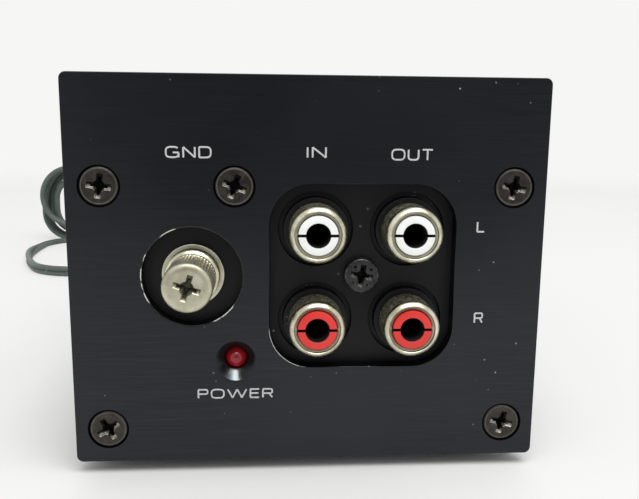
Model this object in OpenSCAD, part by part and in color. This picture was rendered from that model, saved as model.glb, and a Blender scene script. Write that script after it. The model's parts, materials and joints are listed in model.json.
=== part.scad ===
// Compact phono preamp: steel case behind a thick front panel, two pairs of phono jacks,
// a ground terminal, a power light and a captive flat mains cord with its plug.
// X runs to the right, Y away from the front, Z up; the feet stand on Z = 0.

/* [Front panel] */
// Width of the front panel
panel_w = 72; // [68:1:84]
// Height of the front panel
panel_h = 59.3; // [58:0.1:70]
// Thickness of the front panel
panel_t = 2.5; // [2:0.1:4]
// Radius of the front panel's corners
panel_corner_r = 1; // [0.5:0.1:3]
// How far the front panel stands proud of the case on each side
panel_overhang = 1; // [0.5:0.1:2]

/* [Panel screws] */
// Distance of the outer screws from the panel's side edges
screw_side_inset = 5; // [4:0.1:6]
// Height of the lower screws above the panel's bottom edge
screw_low_inset = 5.35; // [5:0.05:6]
// Distance of the upper screws below the panel's top edge
screw_top_inset = 16.3; // [14:0.1:17]
// Place of the middle upper screw, from the panel's centre
middle_screw_x = -11.25; // [-13:0.25:-11]
// Diameter of the screws' threads
screw_d = 3; // [2.5:0.1:3.2]
// Diameter of the countersunk heads
flat_head_d = 5.8; // [5.4:0.1:6.4]
// Length of a front screw from its head's face to its tip
panel_screw_l = 7; // [6:0.5:9]
// Length of a cover screw's shank
cover_screw_l = 5; // [4:0.5:6]

/* [Case] */
// Depth of the case from the panel's face to the rear wall
case_depth = 120; // [112:1:150]
// Thickness of the steel sheet
sheet_t = 1; // [0.8:0.1:1.5]
// Outer radius of the cover's bends
bend_r = 2; // [1.6:0.1:3]
// Height of the chassis tray's side lips
lip_h = 10; // [8:1:14]
// Diameter of the cover screws' and board screws' pan heads
pan_head_d = 5.4; // [5:0.1:6]
// Height of a pan head
pan_head_h = 1.7; // [1.4:0.1:2.2]
// Distance of the cover screws from the front and from the rear
cover_screw_inset = 24; // [15:1:35]
// Height of the rubber feet
foot_h = 3; // [2.5:0.1:6]
// Diameter of the rubber feet
foot_d = 12; // [8:0.5:14]
// Distance of the feet's centres from the case's sides
foot_side_inset = 9; // [8:0.5:14]
// Distance of the feet's centres from the panel's face and from the rear wall
foot_end_inset = 16; // [10:1:25]

/* [Ground terminal] */
// Place of the terminal across the panel, from its centre
ground_x = -17.7; // [-19:0.1:-17]
// Height of the terminal above the panel's bottom edge
ground_z = 29.4; // [27:0.1:32]
// Diameter of the cut-out around the terminal
ground_hole_d = 15.1; // [13:0.1:16]
// Diameter of the terminal screw's shank
ground_shank_d = 4; // [3.5:0.1:4.5]
// Diameter over the knurled head
ground_knurl_d = 7.4; // [6.8:0.1:7.8]
// Diameter of the smooth ring at the head's foot
ground_ring_d = 8.2; // [8:0.1:9]
// How far the head reaches in front of the panel
ground_proud = 8; // [6:0.5:10]
// Number of knurl ridges
ground_knurls = 44; // [30:1:60]
// Diameter of the captive washer
ground_washer_d = 9.5; // [9:0.1:11]
// Thickness of the captive washer
ground_washer_t = 0.8; // [0.5:0.1:1.2]
// Travel of the screw when it is opened
ground_travel = 2.8; // [2:0.1:3.5]
// Length of thread still engaged when the screw is open
ground_engaged = 4.2; // [3.5:0.1:6]

/* [Phono jacks] */
// Centre of the four jacks across the panel, from its centre
jack_x = 8.1; // [7.5:0.1:10]
// Centre of the four jacks above the panel's bottom edge
jack_z = 29.2; // [28:0.1:31]
// Distance between neighbouring jacks
jack_pitch = 14.2; // [14:0.1:15]
// Size of the square cut-out around the jacks
recess_w = 28.4; // [28:0.1:30]
// Corner radius of the square cut-out
recess_r = 6.3; // [4:0.1:7]
// Diameter of the holes in the front wall behind the cut-out
jack_hole_d = 11.5; // [10.8:0.1:12]
// Diameter of the jack block's collars
collar_d = 10; // [9.4:0.1:10.4]
// How far the collars reach past the front wall
collar_proud = 0.9; // [0.5:0.1:1.5]
// Outer diameter of a jack's shell
shell_d = 8.3; // [8.2:0.05:8.6]
// Inner diameter of a jack's shell
shell_bore_d = 6.3; // [6:0.1:6.8]
// How far the shells reach in front of the panel
shell_proud = 4.5; // [3:0.1:6]
// Diameter of the hole in an insulator
insulator_hole_d = 3.4; // [3.3:0.1:3.6]
// Height of the slit across an insulator
insulator_slit = 0.5; // [0.3:0.1:0.8]
// Inner diameter of a centre contact
contact_bore_d = 3.2; // [3.18:0.01:3.3]
// Wall of a centre contact
contact_wall = 0.5; // [0.3:0.1:0.6]
// Size of the jack block across
jack_block_w = 31; // [29:0.5:32]
// Depth of the jack block behind the front wall
jack_block_l = 10; // [9:0.5:14]

/* [Power light] */
// Place of the light across the panel, from its centre
light_x = -11.3; // [-13:0.1:-10.5]
// Height of the light above the panel's bottom edge
light_z = 16.1; // [15:0.1:17]
// Diameter of the light's lens
light_d = 3; // [2.8:0.1:3.2]
// Diameter of the cone around the light at the panel's face
light_cone_d = 6.4; // [5:0.1:7.5]
// Depth of the lens's tip behind the panel's face
light_depth = 0.9; // [0.5:0.1:1.4]

/* [Circuit board] */
// Width of the circuit board
board_w = 60; // [58:1:64]
// Thickness of the circuit board
board_t = 1.6; // [1:0.1:2]
// Height of the spacers under the board
spacer_h = 7; // [6:0.5:9]
// Diameter of the spacers
spacer_d = 5.5; // [5:0.5:7]
// Distance of the board's screws from its edges
board_screw_inset = 4; // [3.5:0.1:5]

/* [Transformer] */
// Width of the transformer's core
core_w = 40; // [36:1:44]
// Height of the transformer's core
core_h = 33; // [30:1:40]
// Thickness of the core's stack of laminations
core_t = 16; // [12:1:18]
// Depth of the winding
winding_l = 28; // [22:1:30]
// Distance from the winding to the rear wall
winding_rear_gap = 9; // [8:0.5:14]
// Thickness of the bracket's steel
bracket_t = 0.8; // [0.6:0.1:1.2]

/* [Cord and plug] */
// Width of the flat cord
cord_w = 4.2; // [3.6:0.1:5]
// Thickness of the flat cord
cord_t = 2.4; // [2:0.1:2.8]
// Length of the tapered strain relief behind the rear wall
relief_l = 24; // [20:1:30]
// Diameter of the strain relief's flanges
relief_flange_d = 13; // [12:0.5:15]
// Diameter of the hole in the rear wall
relief_hole_d = 10; // [9:0.5:11]
// Place of the strain relief across the rear wall
relief_x = 12; // [8:1:20]
// Height of the strain relief above the table
relief_z = 14; // [13:0.5:20]
// Length of the bundled cord's straight runs
hank_run = 82; // [64:1:84]
// Outer height of the bundled cord
hank_h = 36; // [32:1:40]
// Turns that lie side by side in the bundle
hank_columns = 3; // [3:1:4]
// Width of the tie round the bundle
tie_w = 8; // [5:1:12]
// Thickness of the tie
tie_t = 0.8; // [0.6:0.1:1.2]
// Length of the plug's moulded body
plug_l = 24; // [20:1:28]
// Width of the plug's body
plug_w = 22; // [20:1:24]
// Thickness of the plug's body
plug_h = 11; // [10:0.5:13]
// Distance between the plug's blades
blade_pitch = 12.7; // [12.5:0.1:12.9]
// Length of the blades
blade_l = 17; // [15:0.5:18]
// Width of a blade
blade_w = 6.35; // [6:0.05:6.5]
// Thickness of a blade
blade_t = 1.5; // [1.4:0.05:1.6]

/* [Hidden] */
$fn = 64;
// Overlap of a cutting shape past the face that it cuts
cut = 1;
// Running clearance on the radius of a turning or sliding fit
run_gap = 0.05;
// Clearance between assembled pieces that do not move
seat_gap = 0.05;
// Gap that stands for the solder between a wire's end and its terminal
wire_gap = 0.1;

// The case
panel_lift = foot_h - panel_overhang;
case_w = panel_w - 2 * panel_overhang;
case_h = panel_h - 2 * panel_overhang;
case_top = foot_h + case_h;
tray_w = case_w - 2 * (sheet_t + seat_gap);
tray_top = case_top - sheet_t - seat_gap;
floor_z = foot_h + sheet_t;
wall_back = panel_t + sheet_t;
rear_y = case_depth;
// Depth of the panel's face in the part's frame, which puts the origin under the middle
face_y = (ground_proud - case_depth - relief_l) / 2;

// Front panel features
screw_hole_d = screw_d + 4 * seat_gap;
flat_head_h = (flat_head_d - screw_d) / 2;
sink_d = flat_head_d + 0.3;
panel_screw_places = [
    [-panel_w / 2 + screw_side_inset, panel_lift + panel_h - screw_top_inset, 8],
    [middle_screw_x, panel_lift + panel_h - screw_top_inset, 35],
    [panel_w / 2 - screw_side_inset, panel_lift + panel_h - screw_top_inset, 12],
    [-panel_w / 2 + screw_side_inset, panel_lift + screw_low_inset, 58],
    [panel_w / 2 - screw_side_inset, panel_lift + screw_low_inset, 14]];

// Ground terminal
ground_at = [ground_x, panel_lift + ground_z];
bush_front = panel_t - 0.2;
washer_back = bush_front - 2 * run_gap;
washer_front = washer_back - ground_washer_t;
ring_back = washer_front - run_gap;
ring_t = 0.8;
neck_t = 0.35;
head_end = -ground_proud;
bush_flange_t = 1.5;
bush_thread_d = ground_shank_d + 2.6;
lug_t = 0.8;
ground_nut_t = 2.6;
shank_end = wall_back + ground_travel + ground_engaged;
bush_end = shank_end + 1;

// Phono jacks
jack_at = [jack_x, panel_lift + jack_z];
block_back = wall_back + jack_block_l;
shell_back = block_back - 2;
shell_root_d = shell_d - 0.5;
insulator_front = -shell_proud + 0.6;
contact_front = insulator_front + 1.7;
contact_d = contact_bore_d + 2 * contact_wall;
contact_tail_d = 1.6;
tail_end = block_back + 4;
shell_tail_d = 0.8;
shell_tail_off = (shell_root_d + shell_bore_d) / 4;
strap_t = 0.5;
jack_screw_head_d = pan_head_d;

// Power light
light_at = [light_x, panel_lift + light_z];
lens_flange_d = light_d + 0.8;
lens_flange_t = 1;
lens_back = wall_back + 2.1;
lead_pitch = 2.54;

// Circuit board
board_z = floor_z + spacer_h;
board_top = board_z + board_t;
board_y0 = wall_back + 2;
winding_back = rear_y - sheet_t - winding_rear_gap;
winding_front = winding_back - winding_l;
board_y1 = winding_front - 3;
board_l = board_y1 - board_y0;
// Room kept free behind the jacks, and taken by the supply's parts at the board's rear
signal_start = 18;
supply_l = 22;
board_middle = (signal_start + board_l - supply_l) / 2;
part_gap = 0.8;
small_can_d = 6.3;
small_can_h = 11;
supply_can_d = 12.5;
supply_can_h = 20;
chip = [6.4, 9.6, 3.3];
film = [7, 3, 8];
resistor_d = 2.4;
resistor_l = 6.4;
diode_d = 2.8;
diode_l = 5.2;
regulator = [10, 4.4, 9];
// Half the board's width, less the small cans at its edge
signal_w = board_w / 2 - small_can_d - part_gap;
film_rows = [signal_start + film[1] / 2, board_l - supply_l - film[1] / 2];
resistor_inset = film[1] + part_gap + resistor_d / 2;
resistor_rows = [signal_start + resistor_inset, board_l - supply_l - resistor_inset];
spacer_places = [for (sx = [-1, 1], sy = [board_y0, board_y1])
    [sx * (board_w / 2 - board_screw_inset),
     sy + (sy == board_y0 ? board_screw_inset : -board_screw_inset)]];

// Transformer
leg_w = core_w / 3;
window_w = core_w / 6;
window_h = core_h - 2 * window_w;
core_y = (winding_front + winding_back) / 2;
core_z = floor_z + core_h / 2;
tab_l = 9;

// Cord; its route is measured in the part's frame
relief_back = case_depth + relief_l + face_y;
cord_route = [
    [relief_x, relief_back, relief_z],
    [12, 84, 14],
    [11.5, 93, 13.4],
    [8, 102, 11.8],
    [1, 108, 9.4],
    [-8, 109.5, 6.8],
    [-17, 106.5, 4.6],
    [-26, 101.3, 3.2],
    [-35, 96, 2.4],
    [-44, 90.6, 2.1],
    [-53, 85.2, 2.1],
    [-61, 80.4, 2.1],
    [-69, 76.2, 2.1],
    [-78, 75.2, 2.1],
    [-86.5, 79.2, 2.1],
    [-92, 87, 2.1],
    [-95.3, 97, 2.1],
    [-98.2, 107, 2.1],
    [-100.5, 117, 2.1],
    [-102, 128, 2.1],
    [-102.4, 138, 2.1],
    [-100, 147, 2.1],
    [-94, 153.6, 2.1],
    [-91, 155, 2.1]];
cord_sides = 8;

// Bundle of cord and its tie; it stands on its long edge behind the loop
hank_left = -107.5;
hank_front = 153.2;
hank_pitch = cord_w + 0.1;
hank_t = hank_columns * hank_pitch;
hank_mid_x = hank_left + hank_h / 2 + hank_run / 2;
tie_x = -66;

// Lead to the plug, and the plug, lying in front of the bundle
plug_at = [-12, 138];
plug_tail_l = 12;
lead_route = [
    [-48, 154.4, 3.2],
    [-44, 150.6, 2.8],
    [-40.6, 145.6, 2.7],
    [-36, 141, 3.2],
    [-30.4, 138.6, 4.4],
    [plug_at[0] - plug_tail_l, plug_at[1], plug_h / 2]];

// ---------- helpers ----------

// Moves a piece from the panel's face to its place in the part's frame
module from_face() translate([0, face_y, 0]) children();

// Extrudes a flat outline, drawn in X and Z, from depth y0 to depth y1
module plate_y(y0, y1) translate([0, y1, 0]) rotate([90, 0, 0]) linear_extrude(y1 - y0) children();

// A round bar along Y at place [x, z]
module bar_y(d, y0, y1, at = [0, 0])
    translate([at[0], y0, at[1]]) rotate([-90, 0, 0]) cylinder(d = d, h = y1 - y0);

// A piece turned about an axis along Y at place [x, z], from points [radius, y]
module turned_y(points, at = [0, 0])
    translate([at[0], 0, at[1]]) rotate([-90, 0, 0]) rotate_extrude() polygon(points);

// A rectangle with round corners, centred
module rounded(w, h, r) {
    square([w, h - 2 * r], center = true);
    square([w - 2 * r, h], center = true);
    for (sx = [-1, 1], sy = [-1, 1])
        translate([sx * (w / 2 - r), sy * (h / 2 - r)]) circle(r = r);
}

// A block from its lowest corner to its highest corner
module block(low, high) translate(low) cube(high - low);

// The cross-shaped driver recess, cut back along +Y from depth y0
module cross_recess(y0, size, depth, turn, at) {
    slot = size * 0.26;
    translate([at[0], y0, at[1]]) rotate([0, turn, 0]) {
        for (a = [0, 90]) rotate([0, a, 0])
            translate([0, 0, -slot / 2]) linear_extrude(slot)
                polygon([[-size / 2, -cut], [size / 2, -cut], [size / 2, 0],
                         [size * 0.22, depth], [-size * 0.22, depth], [-size / 2, 0]]);
        rotate([-90, 0, 0]) cylinder(d1 = size * 0.52, d2 = 0.3, h = depth * 1.1);
    }
}

// A pan-head screw whose head sits on depth y0 and whose shank runs along +Y
module pan_screw_y(y0, head_d, head_h, length, turn, at) {
    difference() {
        union() {
            turned_y([[0, y0 - head_h], [head_d * 0.28, y0 - head_h], [head_d * 0.43, y0 - head_h * 0.75],
                      [head_d / 2, y0 - head_h * 0.35], [head_d / 2, y0], [0, y0]], at);
            bar_y(screw_d, y0, y0 + length, at);
        }
        cross_recess(y0 - head_h, head_d * 0.55, head_h * 0.75, turn, at);
    }
}

function unit(v) = v / norm(v);
function along(path, i) =
    unit(path[min(i + 1, len(path) - 1)] - path[max(i - 1, 0)]);
function ring(path, i, wide, thin, sides) =
    let (dir = along(path, i), side = unit(cross(dir, [0, 0, 1])), up = cross(side, dir))
    [for (k = [0:sides - 1])
        path[i] + side * thin / 2 * cos(360 * k / sides) + up * wide / 2 * sin(360 * k / sides)];

// A flat tube swept along a route, standing on its narrow edge
module tube(path, wide, thin, sides) {
    last = len(path) - 1;
    polyhedron(
        points = [for (i = [0:last]) each ring(path, i, wide, thin, sides)],
        faces = concat(
            [[for (k = [0:sides - 1]) sides - 1 - k]],
            [[for (k = [0:sides - 1]) last * sides + k]],
            [for (i = [0:last - 1], k = [0:sides - 1]) each
                let (a = i * sides + k, b = i * sides + (k + 1) % sides)
                [[a, b, b + sides], [a, b + sides, a + sides]]]),
        convexity = 10);
}

// An insulated wire, swept along a route that never runs straight up
module wire(path) tube(path, 1.3, 1.3, 6);

// ---------- case ----------

module front_panel() color("#26282a") from_face() difference() {
    plate_y(0, panel_t)
        translate([0, panel_lift + panel_h / 2]) rounded(panel_w, panel_h, panel_corner_r);
    plate_y(-cut, panel_t + cut)
        translate(jack_at) rounded(recess_w, recess_w, recess_r);
    bar_y(ground_hole_d, -cut, panel_t + cut, ground_at);
    light_hole_d = light_d + 0.3;
    cone_depth = (light_cone_d - light_hole_d) / 2;
    turned_y([[0, -cut], [light_cone_d / 2, -cut], [light_cone_d / 2, 0],
              [light_hole_d / 2, min(cone_depth, panel_t * 0.7)], [light_hole_d / 2, panel_t + cut],
              [0, panel_t + cut]], light_at);
    for (p = panel_screw_places)
        turned_y([[0, -cut], [sink_d / 2, -cut], [sink_d / 2, 0],
                  [screw_hole_d / 2, (sink_d - screw_hole_d) / 2], [screw_hole_d / 2, panel_t + cut],
                  [0, panel_t + cut]], p);
}

module panel_screws() color("#3a3734") from_face() for (p = panel_screw_places)
    difference() {
        turned_y([[0, 0.05], [flat_head_d / 2 - 0.1, 0.05], [flat_head_d / 2, 0.15],
                  [screw_d / 2, 0.15 + flat_head_h], [screw_d / 2, panel_screw_l - 0.5],
                  [screw_d / 2 - 0.5, panel_screw_l], [0, panel_screw_l]], p);
        cross_recess(0.05, flat_head_d * 0.56, 1.5, p[2], p);
    }

// Tray bent from one sheet: floor, front wall, rear wall and two side lips
module chassis() color("#2b2c2e") from_face() difference() {
    union() {
        block([-tray_w / 2, panel_t, foot_h], [tray_w / 2, rear_y, floor_z]);
        block([-tray_w / 2, panel_t, foot_h], [tray_w / 2, wall_back, tray_top]);
        block([-tray_w / 2, rear_y - sheet_t, foot_h], [tray_w / 2, rear_y, tray_top]);
        for (sx = [-1, 1])
            translate([sx * (tray_w - sheet_t) / 2, (panel_t + rear_y) / 2, foot_h + lip_h / 2])
                cube([sheet_t, rear_y - panel_t, lip_h], center = true);
    }
    for (p = panel_screw_places) bar_y(screw_hole_d, panel_t - cut, wall_back + cut, p);
    for (sx = [-1, 1], sz = [-1, 1])
        bar_y(jack_hole_d, panel_t - cut, wall_back + cut, jack_at + jack_pitch / 2 * [sx, sz]);
    bar_y(screw_hole_d, panel_t - cut, wall_back + cut, jack_at);
    bar_y(bush_thread_d + 2 * seat_gap, panel_t - cut, wall_back + cut, ground_at);
    bar_y(light_d + 0.4, panel_t - cut, wall_back + cut, light_at);
    bar_y(relief_hole_d + 2 * seat_gap, rear_y - sheet_t - cut, rear_y + cut, [relief_x, relief_z]);
    cover_screw_row() rotate([0, 90, 0]) cylinder(d = screw_hole_d, h = 4 * cut + 2 * sheet_t, center = true);
    for (sx = [-1, 1])
        translate([sx * tab_screw_x(), core_y, foot_h - cut]) cylinder(d = screw_hole_d, h = sheet_t + 2 * cut);
}

// Puts its child where each cover screw crosses the tray's lip, turned for the two sides
module cover_screw_row()
    for (sx = [-1, 1], y = [cover_screw_inset, case_depth - cover_screw_inset])
        translate([sx * case_w / 2, y, foot_h + lip_h * 0.55]) rotate([0, 0, sx > 0 ? 0 : 180]) children();

module cover_outline(w, top, r) {
    translate([-w / 2, foot_h - cut]) square([w, top - r - foot_h + cut]);
    translate([-w / 2 + r, foot_h - cut]) square([w - 2 * r, top - foot_h + cut]);
    for (sx = [-1, 1]) translate([sx * (w / 2 - r), top - r]) circle(r = r);
}

module case_cover() color("#1f2022") from_face() difference() {
    plate_y(panel_t + seat_gap, case_depth) difference() {
        cover_outline(case_w, case_top, bend_r);
        cover_outline(case_w - 2 * sheet_t, case_top - sheet_t, bend_r - sheet_t);
        translate([-case_w, foot_h - 2 * cut]) square([2 * case_w, 2 * cut]);
    }
    cover_screw_row() rotate([0, 90, 0]) cylinder(d = screw_hole_d, h = 2 * cut + 2 * sheet_t, center = true);
}

module cover_screws() color("#2f3032") from_face() cover_screw_row()
    rotate([0, 0, 90]) pan_screw_y(0, pan_head_d, pan_head_h, cover_screw_l, 20, [0, 0]);

module rubber_feet() color("#161616") from_face()
    for (sx = [-1, 1], y = [foot_end_inset, case_depth - foot_end_inset])
        translate([sx * (case_w / 2 - foot_side_inset), y, 0]) difference() {
            rotate_extrude() polygon([[0, 0], [foot_d / 2 - 0.8, 0], [foot_d / 2 - 0.2, 0.5],
                                      [foot_d / 2, foot_h], [0, foot_h]]);
            translate([0, 0, -cut]) cylinder(d = foot_d * 0.35, h = cut + 0.6);
        }

// ---------- ground terminal ----------

module knurl_outline(d, ridges) polygon([for (i = [0:2 * ridges - 1])
    let (r = d / 2 - (i % 2 == 0 ? 0 : 0.22), a = 180 * i / ridges) [r * cos(a), r * sin(a)]]);

module ground_screw() color("#c9c4b4") from_face() difference() {
    union() {
        turned_y([[0, ring_back], [ground_ring_d / 2, ring_back], [ground_ring_d / 2, ring_back - ring_t + 0.2],
                  [ground_ring_d / 2 - 0.2, ring_back - ring_t], [0, ring_back - ring_t]], ground_at);
        bar_y(ground_knurl_d - 0.9, ring_back - ring_t - neck_t, ring_back - ring_t, ground_at);
        plate_y(head_end + 0.5, ring_back - ring_t - neck_t)
            translate(ground_at) knurl_outline(ground_knurl_d, ground_knurls);
        turned_y([[0, head_end], [ground_knurl_d / 2 - 0.45, head_end], [ground_knurl_d / 2 - 0.25, head_end + 0.2],
                  [ground_knurl_d / 2 - 0.25, head_end + 0.5], [0, head_end + 0.5]], ground_at);
        turned_y([[0, ring_back], [ground_shank_d / 2, ring_back], [ground_shank_d / 2, shank_end - 0.5],
                  [ground_shank_d / 2 - 0.5, shank_end], [0, shank_end]], ground_at);
    }
    cross_recess(head_end, ground_knurl_d * 0.56, 2.2, 17, ground_at);
}

module ground_washer() color("#b9b4a4") from_face()
    difference() {
        bar_y(ground_washer_d, washer_front, washer_back, ground_at);
        bar_y(ground_shank_d + 2 * run_gap, washer_front - cut, washer_back + cut, ground_at);
    }

module ground_bush() color("#9c9a92") from_face() difference() {
    union() {
        bar_y(bush_thread_d, bush_front, bush_end, ground_at);
        bar_y(bush_thread_d + 3, wall_back, wall_back + bush_flange_t, ground_at);
    }
    bar_y(ground_shank_d + 2 * run_gap, bush_front - cut, bush_end + cut, ground_at);
}

module ground_lug() color("#c2bfa8") from_face() difference() {
    y0 = wall_back + bush_flange_t;
    union() {
        bar_y(bush_thread_d + 3.4, y0, y0 + lug_t, ground_at);
        block([ground_at[0] - 1.6, y0, ground_at[1] - bush_thread_d - 4], [ground_at[0] + 1.6, y0 + lug_t, ground_at[1]]);
    }
    bar_y(bush_thread_d + 2 * seat_gap, y0 - cut, y0 + lug_t + cut, ground_at);
}

module ground_nut() color("#a8a69c") from_face() difference() {
    y0 = wall_back + bush_flange_t + lug_t;
    translate([ground_at[0], y0, ground_at[1]]) rotate([-90, 0, 0])
        cylinder(d = bush_thread_d + 4.4, h = ground_nut_t, $fn = 6);
    bar_y(bush_thread_d + 2 * seat_gap, y0 - cut, y0 + ground_nut_t + cut, ground_at);
}

// ---------- phono jacks ----------

// Puts its children at the jacks of the given rows: 1 is the upper row, -1 the lower
module at_jacks(rows = [-1, 1])
    for (sx = [-1, 1], sz = rows)
        translate([jack_at[0] + sx * jack_pitch / 2, 0, jack_at[1] + sz * jack_pitch / 2])
            mirror([0, 0, sz > 0 ? 0 : 1]) children();

module jack_block() color("#17181a") from_face() difference() {
    union() {
        plate_y(wall_back, block_back) translate(jack_at) rounded(jack_block_w, jack_block_w, 2);
        at_jacks() bar_y(collar_d, panel_t - collar_proud, wall_back);
    }
    at_jacks() bar_y(shell_root_d + 2 * seat_gap, -cut, shell_back);
    at_jacks() bar_y(contact_tail_d + 0.4, shell_back - cut, block_back + cut);
    at_jacks() bar_y(shell_tail_d + 0.2, shell_back - cut, block_back + cut, [0, -shell_tail_off]);
    bar_y(screw_d + 2 * seat_gap, wall_back - cut, block_back - 1.5, jack_at);
}

module jack_shells() color("#c8c4b6") from_face() at_jacks() {
    turned_y([[shell_bore_d / 2, shell_back], [shell_bore_d / 2, -shell_proud + 0.25],
              [shell_bore_d / 2 + 0.25, -shell_proud], [shell_d / 2 - 0.3, -shell_proud],
              [shell_d / 2, -shell_proud + 0.3], [shell_d / 2, panel_t - collar_proud],
              [shell_root_d / 2, panel_t - collar_proud], [shell_root_d / 2, shell_back]]);
    bar_y(shell_tail_d, shell_back, tail_end - 2, [0, -shell_tail_off]);
}

module insulator() difference() {
    bar_y(shell_bore_d - 2 * seat_gap, insulator_front, shell_back);
    bar_y(insulator_hole_d, insulator_front - cut, contact_front);
    bar_y(contact_d + 2 * seat_gap, contact_front, shell_back + cut);
    block([-shell_bore_d, insulator_front - cut, -insulator_slit / 2],
          [shell_bore_d, insulator_front + 0.9, insulator_slit / 2]);
}

module white_insulators() color("#e8e8e4") from_face() at_jacks([1]) insulator();

module red_insulators() color("#d8342c") from_face() at_jacks([-1]) insulator();

module centre_contacts() color("#8d8a80") from_face() at_jacks() {
    difference() {
        bar_y(contact_d, contact_front + seat_gap, shell_back);
        bar_y(contact_bore_d, contact_front - cut, shell_back - 1);
    }
    bar_y(contact_tail_d, shell_back, tail_end);
}

module jack_screw() color("#2c2b2a") from_face()
    pan_screw_y(panel_t, jack_screw_head_d, 1.5, jack_block_l - 1, 10, jack_at);

module jack_earth_strap() color("#b5b1a0") from_face() difference() {
    tail_z = jack_pitch / 2 - shell_tail_off;
    plate_y(block_back, block_back + strap_t) translate(jack_at)
        square([jack_pitch + 5, 2 * tail_z + 2.6], center = true);
    at_jacks() bar_y(shell_tail_d + 0.2, block_back - cut, block_back + strap_t + cut, [0, -shell_tail_off]);
}

// ---------- power light ----------

module light_lens() color("#8c1420") from_face() {
    tip = light_depth + light_d / 2;
    intersection() {
        translate([light_at[0], tip, light_at[1]]) sphere(d = light_d);
        bar_y(light_d + cut, light_depth - cut, tip, light_at);
    }
    bar_y(light_d, tip, lens_back, light_at);
    bar_y(lens_flange_d, lens_back, lens_back + lens_flange_t, light_at);
}

module light_holder() color("#1a1a1a") from_face() difference() {
    bar_y(light_d + 3.4, wall_back, lens_back + lens_flange_t, light_at);
    bar_y(light_d + 2 * seat_gap, wall_back - cut, lens_back, light_at);
    bar_y(lens_flange_d + 2 * seat_gap, lens_back, lens_back + lens_flange_t + cut, light_at);
}

module light_leads() color("#b9b9b4") from_face() for (sx = [-1, 1]) {
    x = light_at[0] + sx * lead_pitch / 2;
    y = lens_back + lens_flange_t;
    block([x - 0.25, y, light_at[1] - 0.25], [x + 0.25, y + 2.5, light_at[1] + 0.25]);
    block([x - 0.25, y + 2, board_top], [x + 0.25, y + 2.5, light_at[1] + 0.25]);
}

// ---------- circuit board ----------

module circuit_board() color("#8a6a2c") from_face() difference() {
    block([-board_w / 2, board_y0, board_z], [board_w / 2, board_y1, board_top]);
    for (p = spacer_places) translate([p[0], p[1], board_z - cut]) cylinder(d = screw_hole_d, h = board_t + 2 * cut);
}

module board_spacers() color("#c0a050") from_face() for (p = spacer_places)
    translate([p[0], p[1], floor_z]) difference() {
        cylinder(d = spacer_d, h = spacer_h);
        translate([0, 0, 1]) cylinder(d = screw_hole_d, h = spacer_h);
    }

// A pan-head screw that stands on height z and points down
module pan_screw_down(x, y, z, length) translate([x, y, z]) rotate([-90, 0, 0])
    pan_screw_y(0, pan_head_d, pan_head_h, length, 25, [0, 0]);

module board_screws() color("#a7a7a2") from_face() for (p = spacer_places)
    pan_screw_down(p[0], p[1], board_top, board_t + spacer_h - 2);

// Things on the board are placed from its middle line and from its front or rear edge
module on_board(x, from_front) translate([x, board_y0 + from_front, board_top]) children();

module on_board_rear(x, from_rear) translate([x, board_y1 - from_rear, board_top]) children();

module preamp_chips() color("#202022") from_face()
    for (sx = [-1, 1]) on_board(sx * signal_w / 2, board_middle) {
        translate([-chip[0] / 2, -chip[1] / 2, 0.5]) cube(chip);
        for (side = [-1, 1], k = [-1.5:1:1.5])
            translate([side * (chip[0] / 2 + 0.15), 2.54 * k, 1.1]) cube([0.3, 0.6, 2.2], center = true);
    }

module can(d, h) {
    cylinder(d = d - 0.4, h = 0.6);
    translate([0, 0, 0.6]) cylinder(d = d, h = h - 0.6);
}

module electrolytic_capacitors() color("#2a3350") from_face() {
    first = -board_w / 2 + board_screw_inset + pan_head_d / 2 + part_gap + supply_can_d / 2;
    for (x = [first, first + supply_can_d + part_gap])
        on_board_rear(x, supply_can_d / 2 + 2 * part_gap) can(supply_can_d, supply_can_h);
    for (sx = [-1, 1], sy = [-1, 1])
        on_board(sx * (board_w - small_can_d - part_gap) / 2, board_middle + sy * (small_can_d + part_gap) / 2)
            can(small_can_d, small_can_h);
}

module film_capacitors() color("#a03c28") from_face()
    for (sx = [-1, 1], x = [signal_w / 4, signal_w * 3 / 4], y = film_rows) on_board(sx * x, y)
        translate([0, 0, film[2] / 2]) cube(film, center = true);

module resistors() color("#c9ab7c") from_face()
    for (side = [-1, 1], x = [signal_w / 4, signal_w * 3 / 4], y = resistor_rows) on_board(side * x, y) {
        translate([-resistor_l / 2, 0, resistor_d / 2]) rotate([0, 90, 0]) cylinder(d = resistor_d, h = resistor_l);
        for (sx = [-1, 1]) translate([sx * (resistor_l / 2 + 1), 0, 0]) {
            cylinder(d = 0.6, h = resistor_d / 2 + 0.3);
            translate([sx > 0 ? -1 : 0, 0, resistor_d / 2]) rotate([0, 90, 0]) cylinder(d = 0.6, h = 1);
        }
    }

module rectifier_diodes() color("#1c1c1e") from_face()
    for (k = [0:3]) on_board_rear(board_w / 4, board_screw_inset + (diode_d + part_gap) * k)
        translate([-diode_l / 2, 0, diode_d / 2]) rotate([0, 90, 0]) cylinder(d = diode_d, h = diode_l);

module voltage_regulators() color("#2c2c2e") from_face()
    for (x = [board_w / 2 - part_gap - regulator[0] * 0.5, board_w / 2 - 5 * part_gap - regulator[0] * 1.5])
        on_board_rear(x, supply_l - part_gap - regulator[1] / 2) {
            translate([-regulator[0] / 2, -regulator[1] / 2, 3]) cube(regulator);
            translate([-regulator[0] / 2, regulator[1] / 2 - 1.3, 3 + regulator[2]]) difference() {
                cube([regulator[0], 1.3, 6.4]);
                translate([regulator[0] / 2, -cut, 3.2]) rotate([-90, 0, 0]) cylinder(d = 3.6, h = 2 * cut + 1.3);
            }
            for (k = [-1, 0, 1]) translate([2.54 * k - 0.4, -0.3, 0]) cube([0.8, 0.6, 3]);
        }

// ---------- transformer ----------

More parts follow.
